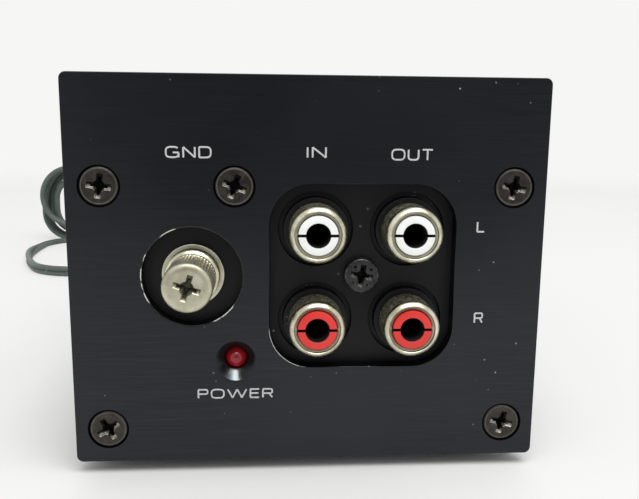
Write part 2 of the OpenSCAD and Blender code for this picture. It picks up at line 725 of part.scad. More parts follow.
module transformer_core() color("#55585c") from_face()
    plate_y(core_y - core_t / 2, core_y + core_t / 2) translate([0, core_z]) difference() {
        square([core_w, core_h], center = true);
        for (sx = [-1, 1]) translate([sx * (leg_w + window_w) / 2, 0]) square([window_w, window_h], center = true);
    }

module transformer_winding() color("#c08a3a") from_face() difference() {
    winding_w = leg_w + 2 * window_w - 0.2;
    translate([0, core_y, core_z]) cube([winding_w, winding_l, window_h - 0.2], center = true);
    translate([0, core_y, core_z]) cube([leg_w + 0.1, core_t + 0.1, window_h + 2 * cut], center = true);
}

function tab_screw_x() = core_w / 2 + bracket_t + tab_l / 2 + 0.5;

module transformer_bracket() color("#8f9296") from_face() difference() {
    reach = core_w / 2 + seat_gap;
    core_top = floor_z + core_h + seat_gap;
    plate_y(core_y - core_t / 2, core_y + core_t / 2) {
        for (sx = [-1, 1]) {
            translate([sx * (reach + bracket_t / 2), (floor_z + core_top + bracket_t) / 2])
                square([bracket_t, core_top + bracket_t - floor_z], center = true);
            translate([sx * (reach + (bracket_t + tab_l) / 2), floor_z + bracket_t / 2])
                square([bracket_t + tab_l, bracket_t], center = true);
        }
        translate([-reach - bracket_t, core_top]) square([2 * (reach + bracket_t), bracket_t]);
    }
    for (sx = [-1, 1]) translate([sx * tab_screw_x(), core_y, floor_z - cut])
        cylinder(d = screw_hole_d, h = bracket_t + 2 * cut);
}

module transformer_screws() color("#a7a7a2") from_face() for (sx = [-1, 1])
    pan_screw_down(sx * tab_screw_x(), core_y, floor_z + bracket_t, bracket_t + sheet_t + 0.5);

// ---------- wires ----------

module signal_wires() color("#8f8f8c") from_face()
    for (sx = [-1, 1], sz = [-1, 1]) {
        x = jack_at[0] + sx * jack_pitch / 2;
        z = jack_at[1] + sz * jack_pitch / 2;
        y = tail_end;
        back = sz > 0 ? 3.6 : 1.6;
        wire([[x, y + wire_gap, z], [x, y + 0.9, z], [x, y + back * 0.75, z - 0.5], [x, y + back, z - 2],
              [x, y + back + 0.3, (z + board_top) / 2], [x, y + back + 0.6, board_top + 0.15]]);
    }

module ground_wire() color("#3e6b3a") from_face() {
    y = wall_back + bush_flange_t + lug_t / 2;
    z = ground_at[1] - bush_thread_d - 4.7;
    wire([[ground_at[0], y, z], [ground_at[0], y + 0.8, z - 2.4],
          [ground_at[0], y + 2.6, (z + board_top) / 2], [ground_at[0], y + 4, board_top + 0.3]]);
}

module secondary_wires() color("#a8842c") from_face()
    for (k = [-1, 0, 1]) {
        x = 4 * k;
        wire([[x, winding_front - wire_gap, core_z], [x, winding_front - 1, core_z],
              [x, winding_front - 2.2, core_z - 0.8],
              [x, winding_front - 3.4, core_z - 2.6], [x, winding_front - 4, board_top + 0.15]]);
    }

module mains_wires() color("#6e5a44") from_face()
    for (sx = [-1, 1]) {
        x = relief_x + 1.3 * sx;
        inner = rear_y - sheet_t - 2;
        wire([[x, inner - wire_gap, relief_z], [x, inner - 0.9, relief_z], [x - 0.6, inner - 1.9, relief_z + 0.4],
              [x - 3.4, winding_back + 1.9, relief_z + 2.6], [x - 4, winding_back + 0.9, relief_z + 3],
              [x - 4, winding_back + wire_gap, relief_z + 3]]);
    }

// ---------- cord and plug ----------

module strain_relief() color("#1b1c1d") from_face() {
    x = [relief_x, relief_z];
    wall_in = rear_y - sheet_t;
    end = rear_y + relief_l;
    root_r = relief_hole_d / 2;
    tip_r = cord_w / 2 + 0.9;
    ribs = 5;
    rib_l = (relief_l - 4) / ribs;
    taper = [for (k = [0:ribs - 1]) each let (y = rear_y + 2 + k * rib_l,
        r = root_r + (tip_r - root_r) * k / (ribs - 1))
        [[r, y], [r, y + rib_l * 0.6], [r - 0.5, y + rib_l * 0.7], [r - 0.5, y + rib_l]]];
    turned_y(concat([[0, wall_in - 2], [relief_flange_d / 2, wall_in - 2], [relief_flange_d / 2, wall_in],
                     [relief_hole_d / 2, wall_in], [relief_hole_d / 2, rear_y],
                     [relief_flange_d / 2, rear_y], [relief_flange_d / 2, rear_y + 1.5],
                     [relief_flange_d / 2 - 0.5, rear_y + 2]],
                    taper, [[tip_r, end - 2], [tip_r, end - 0.4], [tip_r - 0.4, end], [0, end]]), x);
}

module power_cord() color("#3f4845") tube(cord_route, cord_w, cord_t, cord_sides);

module hank_outline() translate([hank_mid_x, hank_h / 2]) {
    square([hank_run, hank_h], center = true);
    for (sx = [-1, 1]) translate([sx * hank_run / 2, 0]) circle(d = hank_h);
}

// Puts its children in the middle of the tie
module at_tie() translate([tie_x, hank_front + hank_t / 2, hank_h / 2]) children();

// The bundle, pulled in above and below where the tie goes round it
module cord_hank() color("#3f4845") difference() {
    plate_y(hank_front, hank_front + hank_t) hank_outline();
    at_tie() difference() {
        cube([tie_w + 2 * seat_gap, hank_t + 2 * cut, hank_h + 2 * cut], center = true);
        cube([tie_w + cut, hank_t + 3 * cut, hank_h - 2 * (tie_t + seat_gap)], center = true);
    }
}

module cord_tie() color("#1d1e1f") at_tie() difference() {
    cube([tie_w, hank_t + 2 * (tie_t + seat_gap), hank_h], center = true);
    cube([tie_w + 2 * cut, hank_t + 2 * seat_gap, hank_h - 2 * tie_t], center = true);
}

module plug_lead() color("#3f4845") tube(lead_route, cord_w, cord_t, cord_sides);

module plug_body() color("#2b2d2e") translate([plug_at[0], plug_at[1], plug_h / 2]) {
    front = 3;
    difference() {
        union() {
            translate([front + (plug_l - front) / 2, 0, 0]) rotate([0, 90, 0])
                linear_extrude(plug_l - front, center = true) rounded(plug_h, plug_w, 3);
            translate([front / 2, 0, 0]) rotate([0, 90, 0])
                linear_extrude(front, center = true) rounded(plug_h - 2, plug_w - 5, 3);
            rotate([0, -90, 0]) cylinder(d1 = plug_h - 3, d2 = cord_w + 1.4, h = plug_tail_l);
        }
        for (sy = [-1, 1]) translate([plug_l - 4 + cut / 2, sy * blade_pitch / 2, 0])
            cube([8 + cut, blade_t + 0.1, blade_w + 0.1], center = true);
    }
}

module plug_blades() color("#bdb9a8") translate([plug_at[0] + plug_l, plug_at[1], plug_h / 2])
    for (sy = [-1, 1]) translate([0, sy * blade_pitch / 2, 0]) difference() {
        translate([-8, -blade_t / 2, -blade_w / 2]) cube([blade_l + 8, blade_t, blade_w]);
        translate([blade_l - 4.5, 0, 0]) rotate([90, 0, 0]) cylinder(d = 3, h = blade_t + cut, center = true);
    }

front_panel();
panel_screws();
chassis();
case_cover();
cover_screws();
rubber_feet();
ground_screw();
ground_washer();
ground_bush();
ground_lug();
ground_nut();
jack_block();
jack_shells();
white_insulators();
red_insulators();
centre_contacts();
jack_screw();
jack_earth_strap();
light_lens();
light_holder();
light_leads();
circuit_board();
board_spacers();
board_screws();
preamp_chips();
electrolytic_capacitors();
film_capacitors();
resistors();
rectifier_diodes();
voltage_regulators();
transformer_core();
transformer_winding();
transformer_bracket();
transformer_screws();
signal_wires();
ground_wire();
secondary_wires();
mains_wires();
strain_relief();
power_cord();
cord_hank();
cord_tie();
plug_lead();
plug_body();
plug_blades();
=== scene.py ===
"""Phono preamp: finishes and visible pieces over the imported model, with its floor, light and camera.

Lengths are written in millimetres, in the model's own frame: X to the right, Y away from the front,
Z up, with the feet on Z = 0. MM turns them into Blender's metres.
"""
import json
from math import acos, asin, atan2, ceil, copysign, cos, degrees, dist, hypot, pi, radians, sin, tau

import bmesh
import bpy
from mathutils import Matrix, Vector


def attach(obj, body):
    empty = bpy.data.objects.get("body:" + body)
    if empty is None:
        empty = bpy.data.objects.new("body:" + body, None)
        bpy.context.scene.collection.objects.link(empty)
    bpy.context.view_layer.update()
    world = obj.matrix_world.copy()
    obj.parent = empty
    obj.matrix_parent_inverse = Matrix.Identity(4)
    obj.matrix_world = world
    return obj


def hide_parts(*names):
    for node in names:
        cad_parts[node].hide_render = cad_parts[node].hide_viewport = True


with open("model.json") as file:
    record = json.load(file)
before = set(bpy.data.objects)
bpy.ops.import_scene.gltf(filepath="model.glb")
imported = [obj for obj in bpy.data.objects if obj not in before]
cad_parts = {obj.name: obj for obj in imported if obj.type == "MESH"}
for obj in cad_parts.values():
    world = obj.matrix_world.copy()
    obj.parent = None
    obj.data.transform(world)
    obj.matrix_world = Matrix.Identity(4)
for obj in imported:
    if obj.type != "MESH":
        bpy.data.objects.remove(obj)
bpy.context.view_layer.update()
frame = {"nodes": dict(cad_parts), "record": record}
NODES = frame["nodes"]

MM = 0.001

# ---------- sizes that the pieces share with the model ----------

FACE = -68.0  # depth of the front panel's face
PANEL_T = 2.5
REAR = 52.0  # outer face of the rear wall
CASE_HALF_W = 35.0
COVER_SCREW_Y = (FACE + 24.0, REAR - 24.0)
COVER_SCREW_Z = 8.5
FOOT_X, FOOT_Y, FOOT_H = 26.0, (FACE + 16.0, REAR - 16.0), 3.0

FLAT_HEAD_D, FLAT_CROSS = 5.8, 3.75  # a head and the size of its cross recess
PAN_HEAD_D, PAN_HEAD_H, PAN_CROSS = 5.4, 1.5, 3.6
PANEL_SCREWS = [(-31.0, 45.0, 8), (-11.25, 45.0, 20), (31.0, 45.0, 12),
                (-31.0, 7.35, -32), (31.0, 7.35, 14)]  # across, up and turned by degrees

GROUND_AT = (-17.7, 31.4)
GROUND_HOLE_D = 15.1
KNOB_R, KNOB_TOP, KNOB_CROSS = 3.66, -8.0, 4.1  # the ground screw's knurled head
RIDGES = 44
LIGHT_AT = (-11.3, 18.1)
JACK_AT = (8.1, 31.2)
JACK_PITCH = 14.2
JACKS = [(JACK_AT[0] + sx * JACK_PITCH / 2, JACK_AT[1] + sz * JACK_PITCH / 2)
         for sz in (1, -1) for sx in (-1, 1)]

CORD_W, CORD_T = 3.6, 2.0
RELIEF_AT = (12.0, 14.0)
HANK_LEFT, HANK_FRONT, HANK_H, HANK_RUN = -107.5, 153.2, 36.0, 81.3
HANK_PITCH = 4.3
TIE_X, TIE_W, TIE_T = -66.0, 8.0, 0.8
TIE_OUT, TIE_ROUND, TIE_LAP = 0.85, 2.2, (9, 27)  # how far it stands out, its corners, its lap's height
PLUG_AT = (-12.0, 138.0, 5.5)
PLUG_H, PLUG_TAIL = 11.0, 12.0


def link(thing):
    bpy.context.scene.collection.objects.link(thing)


# ---------- camera ----------

CAMERA_AT = (-6.149, -177.36, 54.935)
CAMERA_YAW, CAMERA_PITCH, CAMERA_ROLL = (radians(a) for a in (-3.977, -10.031, -0.598))
CAMERA_LENS, SENSOR_W = 41.49, 36.0


def set_camera():
    """The camera looks along +Y, turned by its yaw, pitch and roll."""
    data = bpy.data.cameras.new("camera")
    data.lens, data.sensor_width = CAMERA_LENS, SENSOR_W
    data.clip_start = 0.01
    camera = bpy.data.objects.new("camera", data)
    link(camera)
    turn = (Matrix.Rotation(CAMERA_YAW, 4, "Z") @ Matrix.Rotation(CAMERA_PITCH, 4, "X")
            @ Matrix.Rotation(CAMERA_ROLL, 4, "Y") @ Matrix.Rotation(pi / 2, 4, "X"))
    camera.matrix_world = Matrix.Translation(Vector(CAMERA_AT) * MM) @ turn
    bpy.context.scene.camera = camera


# ---------- cord ----------

ARC_STEP = 1.8  # the longest step between its points on a bend
LOOP_R = 18.0  # bends of the loop, five widths of the cord
LOOP_BENDS = Vector((-6.0, 91.3)), Vector((-74.8, 97.5))  # their centres on the table
LOOP_SIDE_AT, LOOP_SIDE_R, LOOP_SIDE_FROM = (-7, 134), 95, 208.3  # the loop's long left side
UNDER_X, UNDER_R = -85, 17  # the bend that leads the cord under the bundle
FLAT_BEFORE, LAID_FLAT = 66, 42  # how far before that it turns onto its broad side, and over what length
DROOP_FROM, DROOP = 11, 68  # where it leaves the strain relief's height, and the length down to the table
FOLD_OUTER, FOLD_INNER, FOLD_LOOSE, FOLD_TIGHT = 17.0, 14.9, 12.8, 11.0  # folds of the bundle
RUN_STEPS = 28  # steps of a straight run of the bundle
FOLD_GAP = 4  # straight piece between the wide and the tight bend of a left end
LEFT_ENDS = (0, 0), (0.2, 0.9), (2.5, 3.8), (5.4, 6.6)  # how far each lies inside the first, and hangs below it
LOOSE_OUT = 3.7  # how far the last, loose left end stands out
LEAD_FROM = -58  # where the cord leaves the bundle for the plug
SAG_FROM = -48  # the runs hang lower from here to the left
TIE_PULL, TIE_NEAR, TIE_FAR = 0.85, 5, 13  # how far the tie pulls the runs in, fully near it and up to far
WAVE, WAVE_L = 0.14, 11  # how far they wave elsewhere, and over what length
LEAD_Z = 2.3  # height of the lead to the plug, just clear of the table
GROOVE_HALF, GROOVE_REACH = 0.76, 0.55  # half the cord's thickness in its groove, and half the groove's width, over which its painted shade fades out


def polar(radius, angle, x=0.0, y=0.0):
    """The point at a radius and an angle in degrees round a centre."""
    return x + radius * cos(radians(angle)), y + radius * sin(radians(angle))


def arc(centre, radius, start, end):
    """Points on an arc in a plane, from angle start to angle end in degrees."""
    count = max(2, ceil(abs(radians(end - start)) * radius / ARC_STEP))
    return [polar(radius, start + (end - start) * k / count, *centre) for k in range(count + 1)]


def ease(u):
    """A smooth step from 0 to 1."""
    u = min(1.0, max(0.0, u))
    return u * u * (3 - 2 * u)


def loop_points():
    """The cord from the strain relief to the bundle: it droops to the table and makes a loop to the left."""
    one, two = LOOP_BENDS
    across = two - one
    crossing = degrees(atan2(across.y, across.x) - acos(2 * LOOP_R / across.length))
    flat = [(RELIEF_AT[0], y) for y in (73.0, 76.0, 80.0, 84.0, 88.0)]
    flat += arc(one, LOOP_R, 0, crossing)
    flat += arc(two, LOOP_R, crossing + 180, LOOP_SIDE_FROM)
    flat += arc(LOOP_SIDE_AT, LOOP_SIDE_R, LOOP_SIDE_FROM, 180)[1:]
    flat += arc((UNDER_X, HANK_FRONT + HANK_PITCH / 2 - UNDER_R), UNDER_R, 180, 90)
    dense = [flat[0]]
    for a, b in zip(flat, flat[1:]):
        steps = max(1, round(dist(a, b) / 3))
        dense += [(a[0] + (b[0] - a[0]) * k / steps, a[1] + (b[1] - a[1]) * k / steps)
                  for k in range(1, steps + 1)]
    run = [0.0]
    for a, b in zip(dense, dense[1:]):
        run.append(run[-1] + dist(a, b))
    points, turns = [], []
    for (x, y), s in zip(dense, run):
        turn = 90 * ease((s - (run[-1] - FLAT_BEFORE)) / LAID_FLAT)
        rest = CORD_T / 2 + (CORD_W - CORD_T) / 2 * cos(radians(turn))
        points.append(Vector((x, y, rest + (RELIEF_AT[1] - rest) * (1 - ease((s - DROOP_FROM) / DROOP)))))
        turns.append(turn)
    return points, turns


def hank_points():
    """Six turns wound into a long bundle that stands behind the loop: three outer, then three inner."""
    left, right = HANK_LEFT + HANK_H / 2, HANK_LEFT + HANK_H / 2 + HANK_RUN
    middle = HANK_H / 2
    always, late, early, halfway = (0.0, 1.0), (0.62, 1.0), (0.0, 0.38), (0.38, 0.62)

    def run(x0, x1, y, z, shift=always, sag=0.0):
        """A straight run from x0 to x1; it changes column and layer inside the window of its length, and its
        left end hangs lower by the sag."""
        out = []
        for k in range(1, RUN_STEPS):
            u = k / RUN_STEPS
            x = x0 + (x1 - x0) * u
            part = ease((u - shift[0]) / (shift[1] - shift[0]))
            height = z[0] + (z[1] - z[0]) * part - sag * ease((SAG_FROM - x) / (SAG_FROM - min(x0, x1)))
            tied = ease((TIE_FAR - abs(x - TIE_X)) / (TIE_FAR - TIE_NEAR))
            height += TIE_PULL * tied if height < middle else -TIE_PULL * tied
            height += WAVE * (1 + sin(x / WAVE_L)) * (1 - tied)
            out.append(Vector((x, y[0] + (y[1] - y[0]) * part, height)))
        return out

    def fold(x, radius, start, y, z=middle, swing=180):
        return [Vector((p[0], y, p[1])) for p in arc((x, z), radius, start, start + swing)]

    y1, y2, y3 = (HANK_FRONT + HANK_PITCH * (k + 0.5) for k in range(3))
    bottom, top = middle - FOLD_OUTER, middle + FOLD_OUTER
    low, high = middle - FOLD_INNER, middle + FOLD_INNER
    loose, drop = left - LOOSE_OUT, high - FOLD_LOOSE
    points = run(UNDER_X, right, (y1, y1), (bottom, bottom)) + fold(right, FOLD_OUTER, -90, y1)

    def turn(x, ys, tops, floor, shift, after):
        """A run to the left, a left end that hangs down as a wide bend over a tight one, the run back and the
        right fold. Each left end lies a little inside the one before."""
        wide = tops[2] - floor - FOLD_TIGHT - FOLD_GAP
        out = run(right, x + wide, ys, tops[:2], shift, tops[1] - tops[2])
        out += fold(x + wide, wide, 90, ys[1], tops[2] - wide, 90)
        out += fold(x + FOLD_TIGHT, FOLD_TIGHT, 180, ys[1], floor + FOLD_TIGHT, 90)
        out += run(x + FOLD_TIGHT, right, (ys[1], ys[1]), (floor, floor))
        return out + fold(right, after, -90, ys[1])

    for (inset, hang), ys, tops, floor, shift, after in (
            (LEFT_ENDS[0], (y1, y2), (top, top), bottom, late, FOLD_OUTER),
            (LEFT_ENDS[1], (y2, y3), (top, top), bottom, late, FOLD_OUTER),
            (LEFT_ENDS[2], (y3, y3), (top, high), low, halfway, FOLD_INNER),
            (LEFT_ENDS[3], (y3, y2), (high, high), low, early, FOLD_INNER)):
        points += turn(left - FOLD_OUTER + inset, ys, (*tops, top - hang), floor, shift, after)
    points += run(right, loose, (y2, y1), (high, high), early) + fold(loose, FOLD_LOOSE, 90, y1, drop)
    return points + [p for p in run(loose, right, (y1, y1), (drop - FOLD_LOOSE, low), early) if p.x < LEAD_FROM]


def lead_points(start):
    """From the bundle's front to the plug: two gentle bends on the table."""
    tail_x, tail_y = PLUG_AT[0] - PLUG_TAIL, PLUG_AT[1]
    length, offset = tail_x - start.x, start.y - tail_y
    radius = (length ** 2 + offset ** 2) / (4 * offset)
    swing = degrees(asin(length / 2 / radius))
    flat = arc((start.x, start.y - radius), radius, 90, 90 - swing)[1:]
    flat += arc((tail_x, tail_y + radius), radius, 270 - swing, 270)[1:]
    flat.append((tail_x + 4, tail_y))
    points = []
    for k, (x, y) in enumerate(flat, 1):
        u = k / len(flat)
        points.append(Vector((x, y, start.z + (LEAD_Z - start.z) * ease((u - 0.25) / 0.35)
                              + (PLUG_AT[2] - LEAD_Z) * ease((u - 0.5) / 0.5))))
    return points


def twin_outline():
    """The flat twin cord's section: two round cores side by side with a shallow groove between them."""
    side = [polar(CORD_T / 2, angle, (CORD_W - CORD_T) / 2) for angle in range(-112, 113, 28)]
    return side + [(0, GROOVE_HALF)] + [(-u, v) for u, v in reversed(side)] + [(0, -GROOVE_HALF)]


def make_cord():
    """One tube along the whole route, from inside the strain relief to inside the plug."""
    loop, turns = loop_points()
    bundle = hank_points()
    lead = lead_points(bundle[-1])
    points = loop + bundle + lead
    turns += [90] * (len(bundle) + len(lead))
    outline = twin_outline()
    mesh = bmesh.new()
    groove = mesh.verts.layers.float.new("groove")
    rings, last = [], None
    for k, point in enumerate(points):
        ahead = (points[min(k + 1, len(points) - 1)] - points[max(k - 1, 0)]).normalized()
        wound = len(loop) <= k < len(loop) + len(bundle)
        side = Vector((0, 1, 0)) if wound else Vector((0, 0, 1)).cross(ahead)
        side = (side - ahead * side.dot(ahead)).normalized()
        turn = radians(turns[k])
        wide = ahead.cross(side) * cos(turn) + side * sin(turn)
        if last and wide.dot(last) < 0:
            wide = -wide
        last = wide
        thin = ahead.cross(wide)
        ring = []
        for u, v in outline:
            vert = mesh.verts.new((point + wide * u + thin * v) * MM)
            # the level of painted shade: full down the groove's middle, none past its reach
            vert[groove] = max(0.0, 1 - abs(u) / GROOVE_REACH)
            ring.append(vert)
        rings.append(ring)
    sides = len(outline)
    for one, two in zip(rings, rings[1:]):
        for k in range(sides):
            mesh.faces.new((one[k], one[(k + 1) % sides], two[(k + 1) % sides], two[k]))
    mesh.faces.new(list(reversed(rings[0])))
    mesh.faces.new(rings[-1])
    bmesh.ops.recalc_face_normals(mesh, faces=mesh.faces)
    data = bpy.data.meshes.new("mains_cord")
    mesh.to_mesh(data)
    mesh.free()
    for face in data.polygons:
        face.use_smooth = True
    cord = bpy.data.objects.new("mains_cord", data)
    link(cord)
    return cord, [p * MM for p in points]


# ---------- modelling ----------

def clear():
    """Leaves edit mode and deselects everything."""
    if bpy.context.object and bpy.context.object.mode != "OBJECT":
        bpy.ops.object.mode_set(mode="OBJECT")
    bpy.ops.object.select_all(action="DESELECT")


def take(*pieces):
    """Selects only these pieces; the first is the active one."""
    clear()
    for piece in pieces:
        piece.select_set(True)
    bpy.context.view_layer.objects.active = pieces[0]


def settle():
    """Takes the active piece's place, turn and size over into its mesh."""
    bpy.ops.object.transform_apply(location=True, rotation=True, scale=True)


def edit(piece):
    take(piece)
    bpy.ops.object.mode_set(mode="EDIT")
    bpy.ops.mesh.select_mode(type="VERT")
    bpy.ops.mesh.select_all(action="SELECT")


def pick(test, kind="FACE"):
    """In edit mode, selects the parts of the mesh that pass a test of their middle, in millimetres, and their
    normal; an edge has its direction in place of a normal."""
    bpy.ops.mesh.select_mode(type=kind)
    bpy.ops.mesh.select_all(action="DESELECT")
    mesh = bmesh.from_edit_mesh(bpy.context.object.data)
    for part in {"FACE": mesh.faces, "EDGE": mesh.edges, "VERT": mesh.verts}[kind]:
        if kind == "FACE":
            middle, normal = part.calc_center_median(), part.normal
        elif kind == "EDGE":
            one, two = (vert.co for vert in part.verts)
            middle, normal = (one + two) / 2, two - one
        else:
            middle, normal = part.co, part.normal
        if test(middle / MM, normal):
            part.select_set(True)
    bmesh.update_edit_mesh(bpy.context.object.data)


def resize(piece, value, centre, test, kind="VERT"):
    """Resizes the part of a piece that the test picks, about a centre in millimetres."""
    edit(piece)
    pick(test, kind)
    bpy.ops.transform.resize(value=value, center_override=[c * MM for c in centre])
    bpy.ops.object.mode_set(mode="OBJECT")


def tidy_normals():
    """Merges doubles and turns every face outwards, which is checked by the volume inside."""
    bpy.ops.mesh.select_mode(type="VERT")
    bpy.ops.mesh.select_all(action="SELECT")
    bpy.ops.mesh.remove_doubles(threshold=0.001 * MM)
    bpy.ops.mesh.normals_make_consistent(inside=False)
    if bmesh.from_edit_mesh(bpy.context.object.data).calc_volume(signed=True) < 0:
        bpy.ops.mesh.flip_normals()
    bpy.ops.object.mode_set(mode="OBJECT")


def turned(name, steps, sides=64, hollow=False):
    """A piece turned about the Y axis, extruded from step to step of (radius, depth).
    A hollow one comes back to its first step, and a solid one is closed at both ends."""
    clear()
    radius, depth = steps[0]
    bpy.ops.mesh.primitive_circle_add(
        vertices=sides, radius=radius * MM, location=(0, depth * MM, 0), rotation=(pi / 2, 0, 0),
        fill_type="NOTHING" if hollow else "NGON")
    piece = bpy.context.object
    piece.name = name
    settle()
    edit(piece)
    for wanted, y in steps[1:] + steps[:1] * hollow:
        bpy.ops.mesh.extrude_region_move(TRANSFORM_OT_translate={"value": (0, (y - depth) * MM, 0)})
        if wanted != radius:
            grow = wanted / radius
            bpy.ops.transform.resize(value=(grow, 1, grow), center_override=(0, y * MM, 0))
        radius, depth = wanted, y
    tidy_normals()
    return piece


def block(name, low, high):
    """A block between two corners."""
    clear()
    middle = [(a + b) / 2 * MM for a, b in zip(low, high)]
    bpy.ops.mesh.primitive_cube_add(size=1, location=middle)
    piece = bpy.context.object
    piece.name = name
    piece.scale = [(b - a) * MM for a, b in zip(low, high)]
    settle()
    return piece


def apply_modifier(piece, kind, **settings):
    take(piece)
    modifier = piece.modifiers.new(kind.lower(), kind)
    for key, value in settings.items():
        setattr(modifier, key, value)
    bpy.ops.object.modifier_apply(modifier=modifier.name)


def soften(piece, width, segments=2, angle=32):
    """Rounds the piece's sharp edges."""
    apply_modifier(piece, "BEVEL", width=width * MM, segments=segments, limit_method="ANGLE",
                   angle_limit=radians(angle), use_clamp_overlap=False, miter_outer="MITER_ARC")


def smooth(piece, angle=35):
    """Shades the piece smooth but for its sharp edges, and keeps its flat faces flat in the light."""
    take(piece)
    bpy.ops.object.shade_smooth_by_angle(angle=radians(angle))
    apply_modifier(piece, "WEIGHTED_NORMAL", keep_sharp=True)


def copies(piece, places):
    """The piece at each place, which is its x, y, z and its turns about them in degrees, joined into one."""
    made = []
    for at, turn in places:
        take(piece)
        bpy.ops.object.duplicate(linked=False)
        one = bpy.context.object
        one.location = [c * MM for c in at]
        one.rotation_euler = [radians(a) for a in turn]
        settle()
        made.append(one)
    name = piece.name
    bpy.data.objects.remove(piece)
    take(*made)
    if len(made) > 1:
        bpy.ops.object.join()
    bpy.context.object.name = name
    return bpy.context.object


def cut_away(piece, *cutters):
    """Takes each cutter's shape out of the piece."""
    for cutter in cutters:
        apply_modifier(piece, "BOOLEAN", operation="DIFFERENCE", solver="EXACT", use_self=True, object=cutter)
        bpy.data.objects.remove(cutter)


def dressed_copy(owner, name, width, segments=2):
    """A copy of a node's mesh, merged and with softened edges."""
    piece = NODES[owner].copy()
    piece.data = NODES[owner].data.copy()
    for key in list(piece.keys()):
        del piece[key]
    piece.parent = None
    piece.name = name
    link(piece)
    edit(piece)
    bpy.ops.mesh.remove_doubles(threshold=0.001 * MM)
    bpy.ops.mesh.dissolve_limited(angle_limit=radians(0.5))
    bpy.ops.object.mode_set(mode="OBJECT")
    piece.data.materials.clear()
    soften(piece, width, segments)
    return piece


def on_face(at, turn=0):
    """A place on the panel's face for a copy, turned about the Y axis by degrees."""
    return (at[0], FACE, at[1]), (0, turn, 0)


def fit(piece, slot, *nodes, body="casing", material=None):
    """Gives the piece its finish, lets it ride on a body and stand for the nodes that it replaces.
    The finish is the slot's own where no other is given."""
    piece.data.materials.clear()
    piece.data.materials.append(material or FINISHES[slot])
    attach(piece, body)
    if nodes:
        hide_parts(*nodes)
    return piece


# ---------- finishes ----------

def srgb(code):
    """Blender's linear colour for an sRGB hex value."""
    parts = [int(code[k:k + 2], 16) / 255 for k in (1, 3, 5)]
    return [c / 12.92 if c <= 0.04045 else ((c + 0.055) / 1.055) ** 2.4 for c in parts] + [1.0]


def node(tree, kind, inputs=None, stops=None, out=0, **settings):
    """Adds a node with its settings and gives back one of its outputs, or all of them where out is None.
    An input is a value or the output that it is linked from."""
    made = tree.nodes.new("ShaderNode" + kind)
    for key, value in settings.items():
        setattr(made, key, value)
    for place, value in (inputs or {}).items():
        if isinstance(value, bpy.types.NodeSocket):
            tree.links.new(value, made.inputs[place])
        else:
            made.inputs[place].default_value = value
    if stops:
        ramp = made.color_ramp
        while len(ramp.elements) < len(stops):
            ramp.elements.new(0.5)
        for element, (position, colour) in zip(ramp.elements, stops):
            element.position, element.color = position, srgb(colour)
    return made.outputs if out is None else made.outputs[out]


class Finish:
    """A material whose colour, roughness and relief are added up in layers."""

    def __init__(self, name, light, dark, size, rough, metallic=0.0, **sockets):
        """The colour drifts between two tones over grains of a size in millimetres, as the roughness does."""
        self.material = bpy.data.materials.new(name)
        self.material.use_nodes = True
        self.tree = self.material.node_tree
        self.shader = self.tree.nodes["Principled BSDF"]
        self.place = node(self.tree, "TexCoord", out="Object")
        self.shader.inputs["Metallic"].default_value = metallic
        for socket, value in sockets.items():
            self.shader.inputs[socket.replace("_", " ")].default_value = value
        grain = self.grains(size, 4)
        self.colour = node(self.tree, "ValToRGB", {"Fac": grain}, stops=[(0.32, dark), (0.68, light)])
        self.rough = node(self.tree, "MapRange", {
            "Value": grain, "From Min": 0.3, "From Max": 0.7, "To Min": rough[0], "To Max": rough[1]})
        self.height = None

    def grains(self, size, detail=2, stretch=(1, 1, 1)):
        """Soft grains of a size in millimetres, drawn out along the axes by stretch."""
        scale = [1 / (size * MM * s) for s in stretch]
        where = node(self.tree, "Mapping", {"Vector": self.place, "Scale": scale})
        return node(self.tree, "TexNoise", {"Vector": where, "Scale": 1.0, "Detail": detail, "Roughness": 0.6})

    def specks(self, spacing):
        """The distance from specks that lie about a spacing apart, as a share of it."""
        where = node(self.tree, "Mapping", {"Vector": self.place, "Scale": [1 / (spacing * MM)] * 3})
        return node(self.tree, "TexVoronoi", {"Vector": where, "Scale": 1.0})

    def where(self, *patterns):
        """1 where each pattern is at its second level, 0 where one of them is at its first."""
        mask = None
        for value, start, end in patterns:
            level = node(self.tree, "MapRange", {"Value": value, "From Min": start, "From Max": end})
            if mask is not None:
                level = node(self.tree, "Math", {0: mask, 1: level}, operation="MULTIPLY")
            mask = level
        return mask

    def coat(self, mask, colour, rough=None):
        """Lays another colour, and its roughness, over the surface where the mask is 1."""
        inputs = {0: mask, 6: self.colour, 7: srgb(colour)}
        self.colour = node(self.tree, "Mix", inputs, data_type="RGBA", out=2)
        if rough is not None:
            self.rough = node(self.tree, "Mix", {0: mask, 2: self.rough, 3: rough})

    def coat_marked(self, name, colour, rough):
        """Lays the coat where the level that the piece stores under a name is 1; other pieces store none."""
        self.coat(node(self.tree, "Attribute", attribute_name=name, out="Fac"), colour, rough)

    def relief(self, value, height):
        """Adds relief with a height in millimetres."""
        under = 0.0 if self.height is None else self.height
        self.height = node(self.tree, "Math", {0: value, 1: height * MM, 2: under}, operation="MULTIPLY_ADD")

    def done(self):
        """Links the layers to the shader and gives back the material."""
        self.tree.links.new(self.colour, self.shader.inputs["Base Color"])
        self.tree.links.new(self.rough, self.shader.inputs["Roughness"])
        if self.height is not None:
            bump = node(self.tree, "Bump", {"Height": self.height, "Distance": 1.0, "Strength": 1.0})
            self.tree.links.new(bump, self.shader.inputs["Normal"])
        return self.material


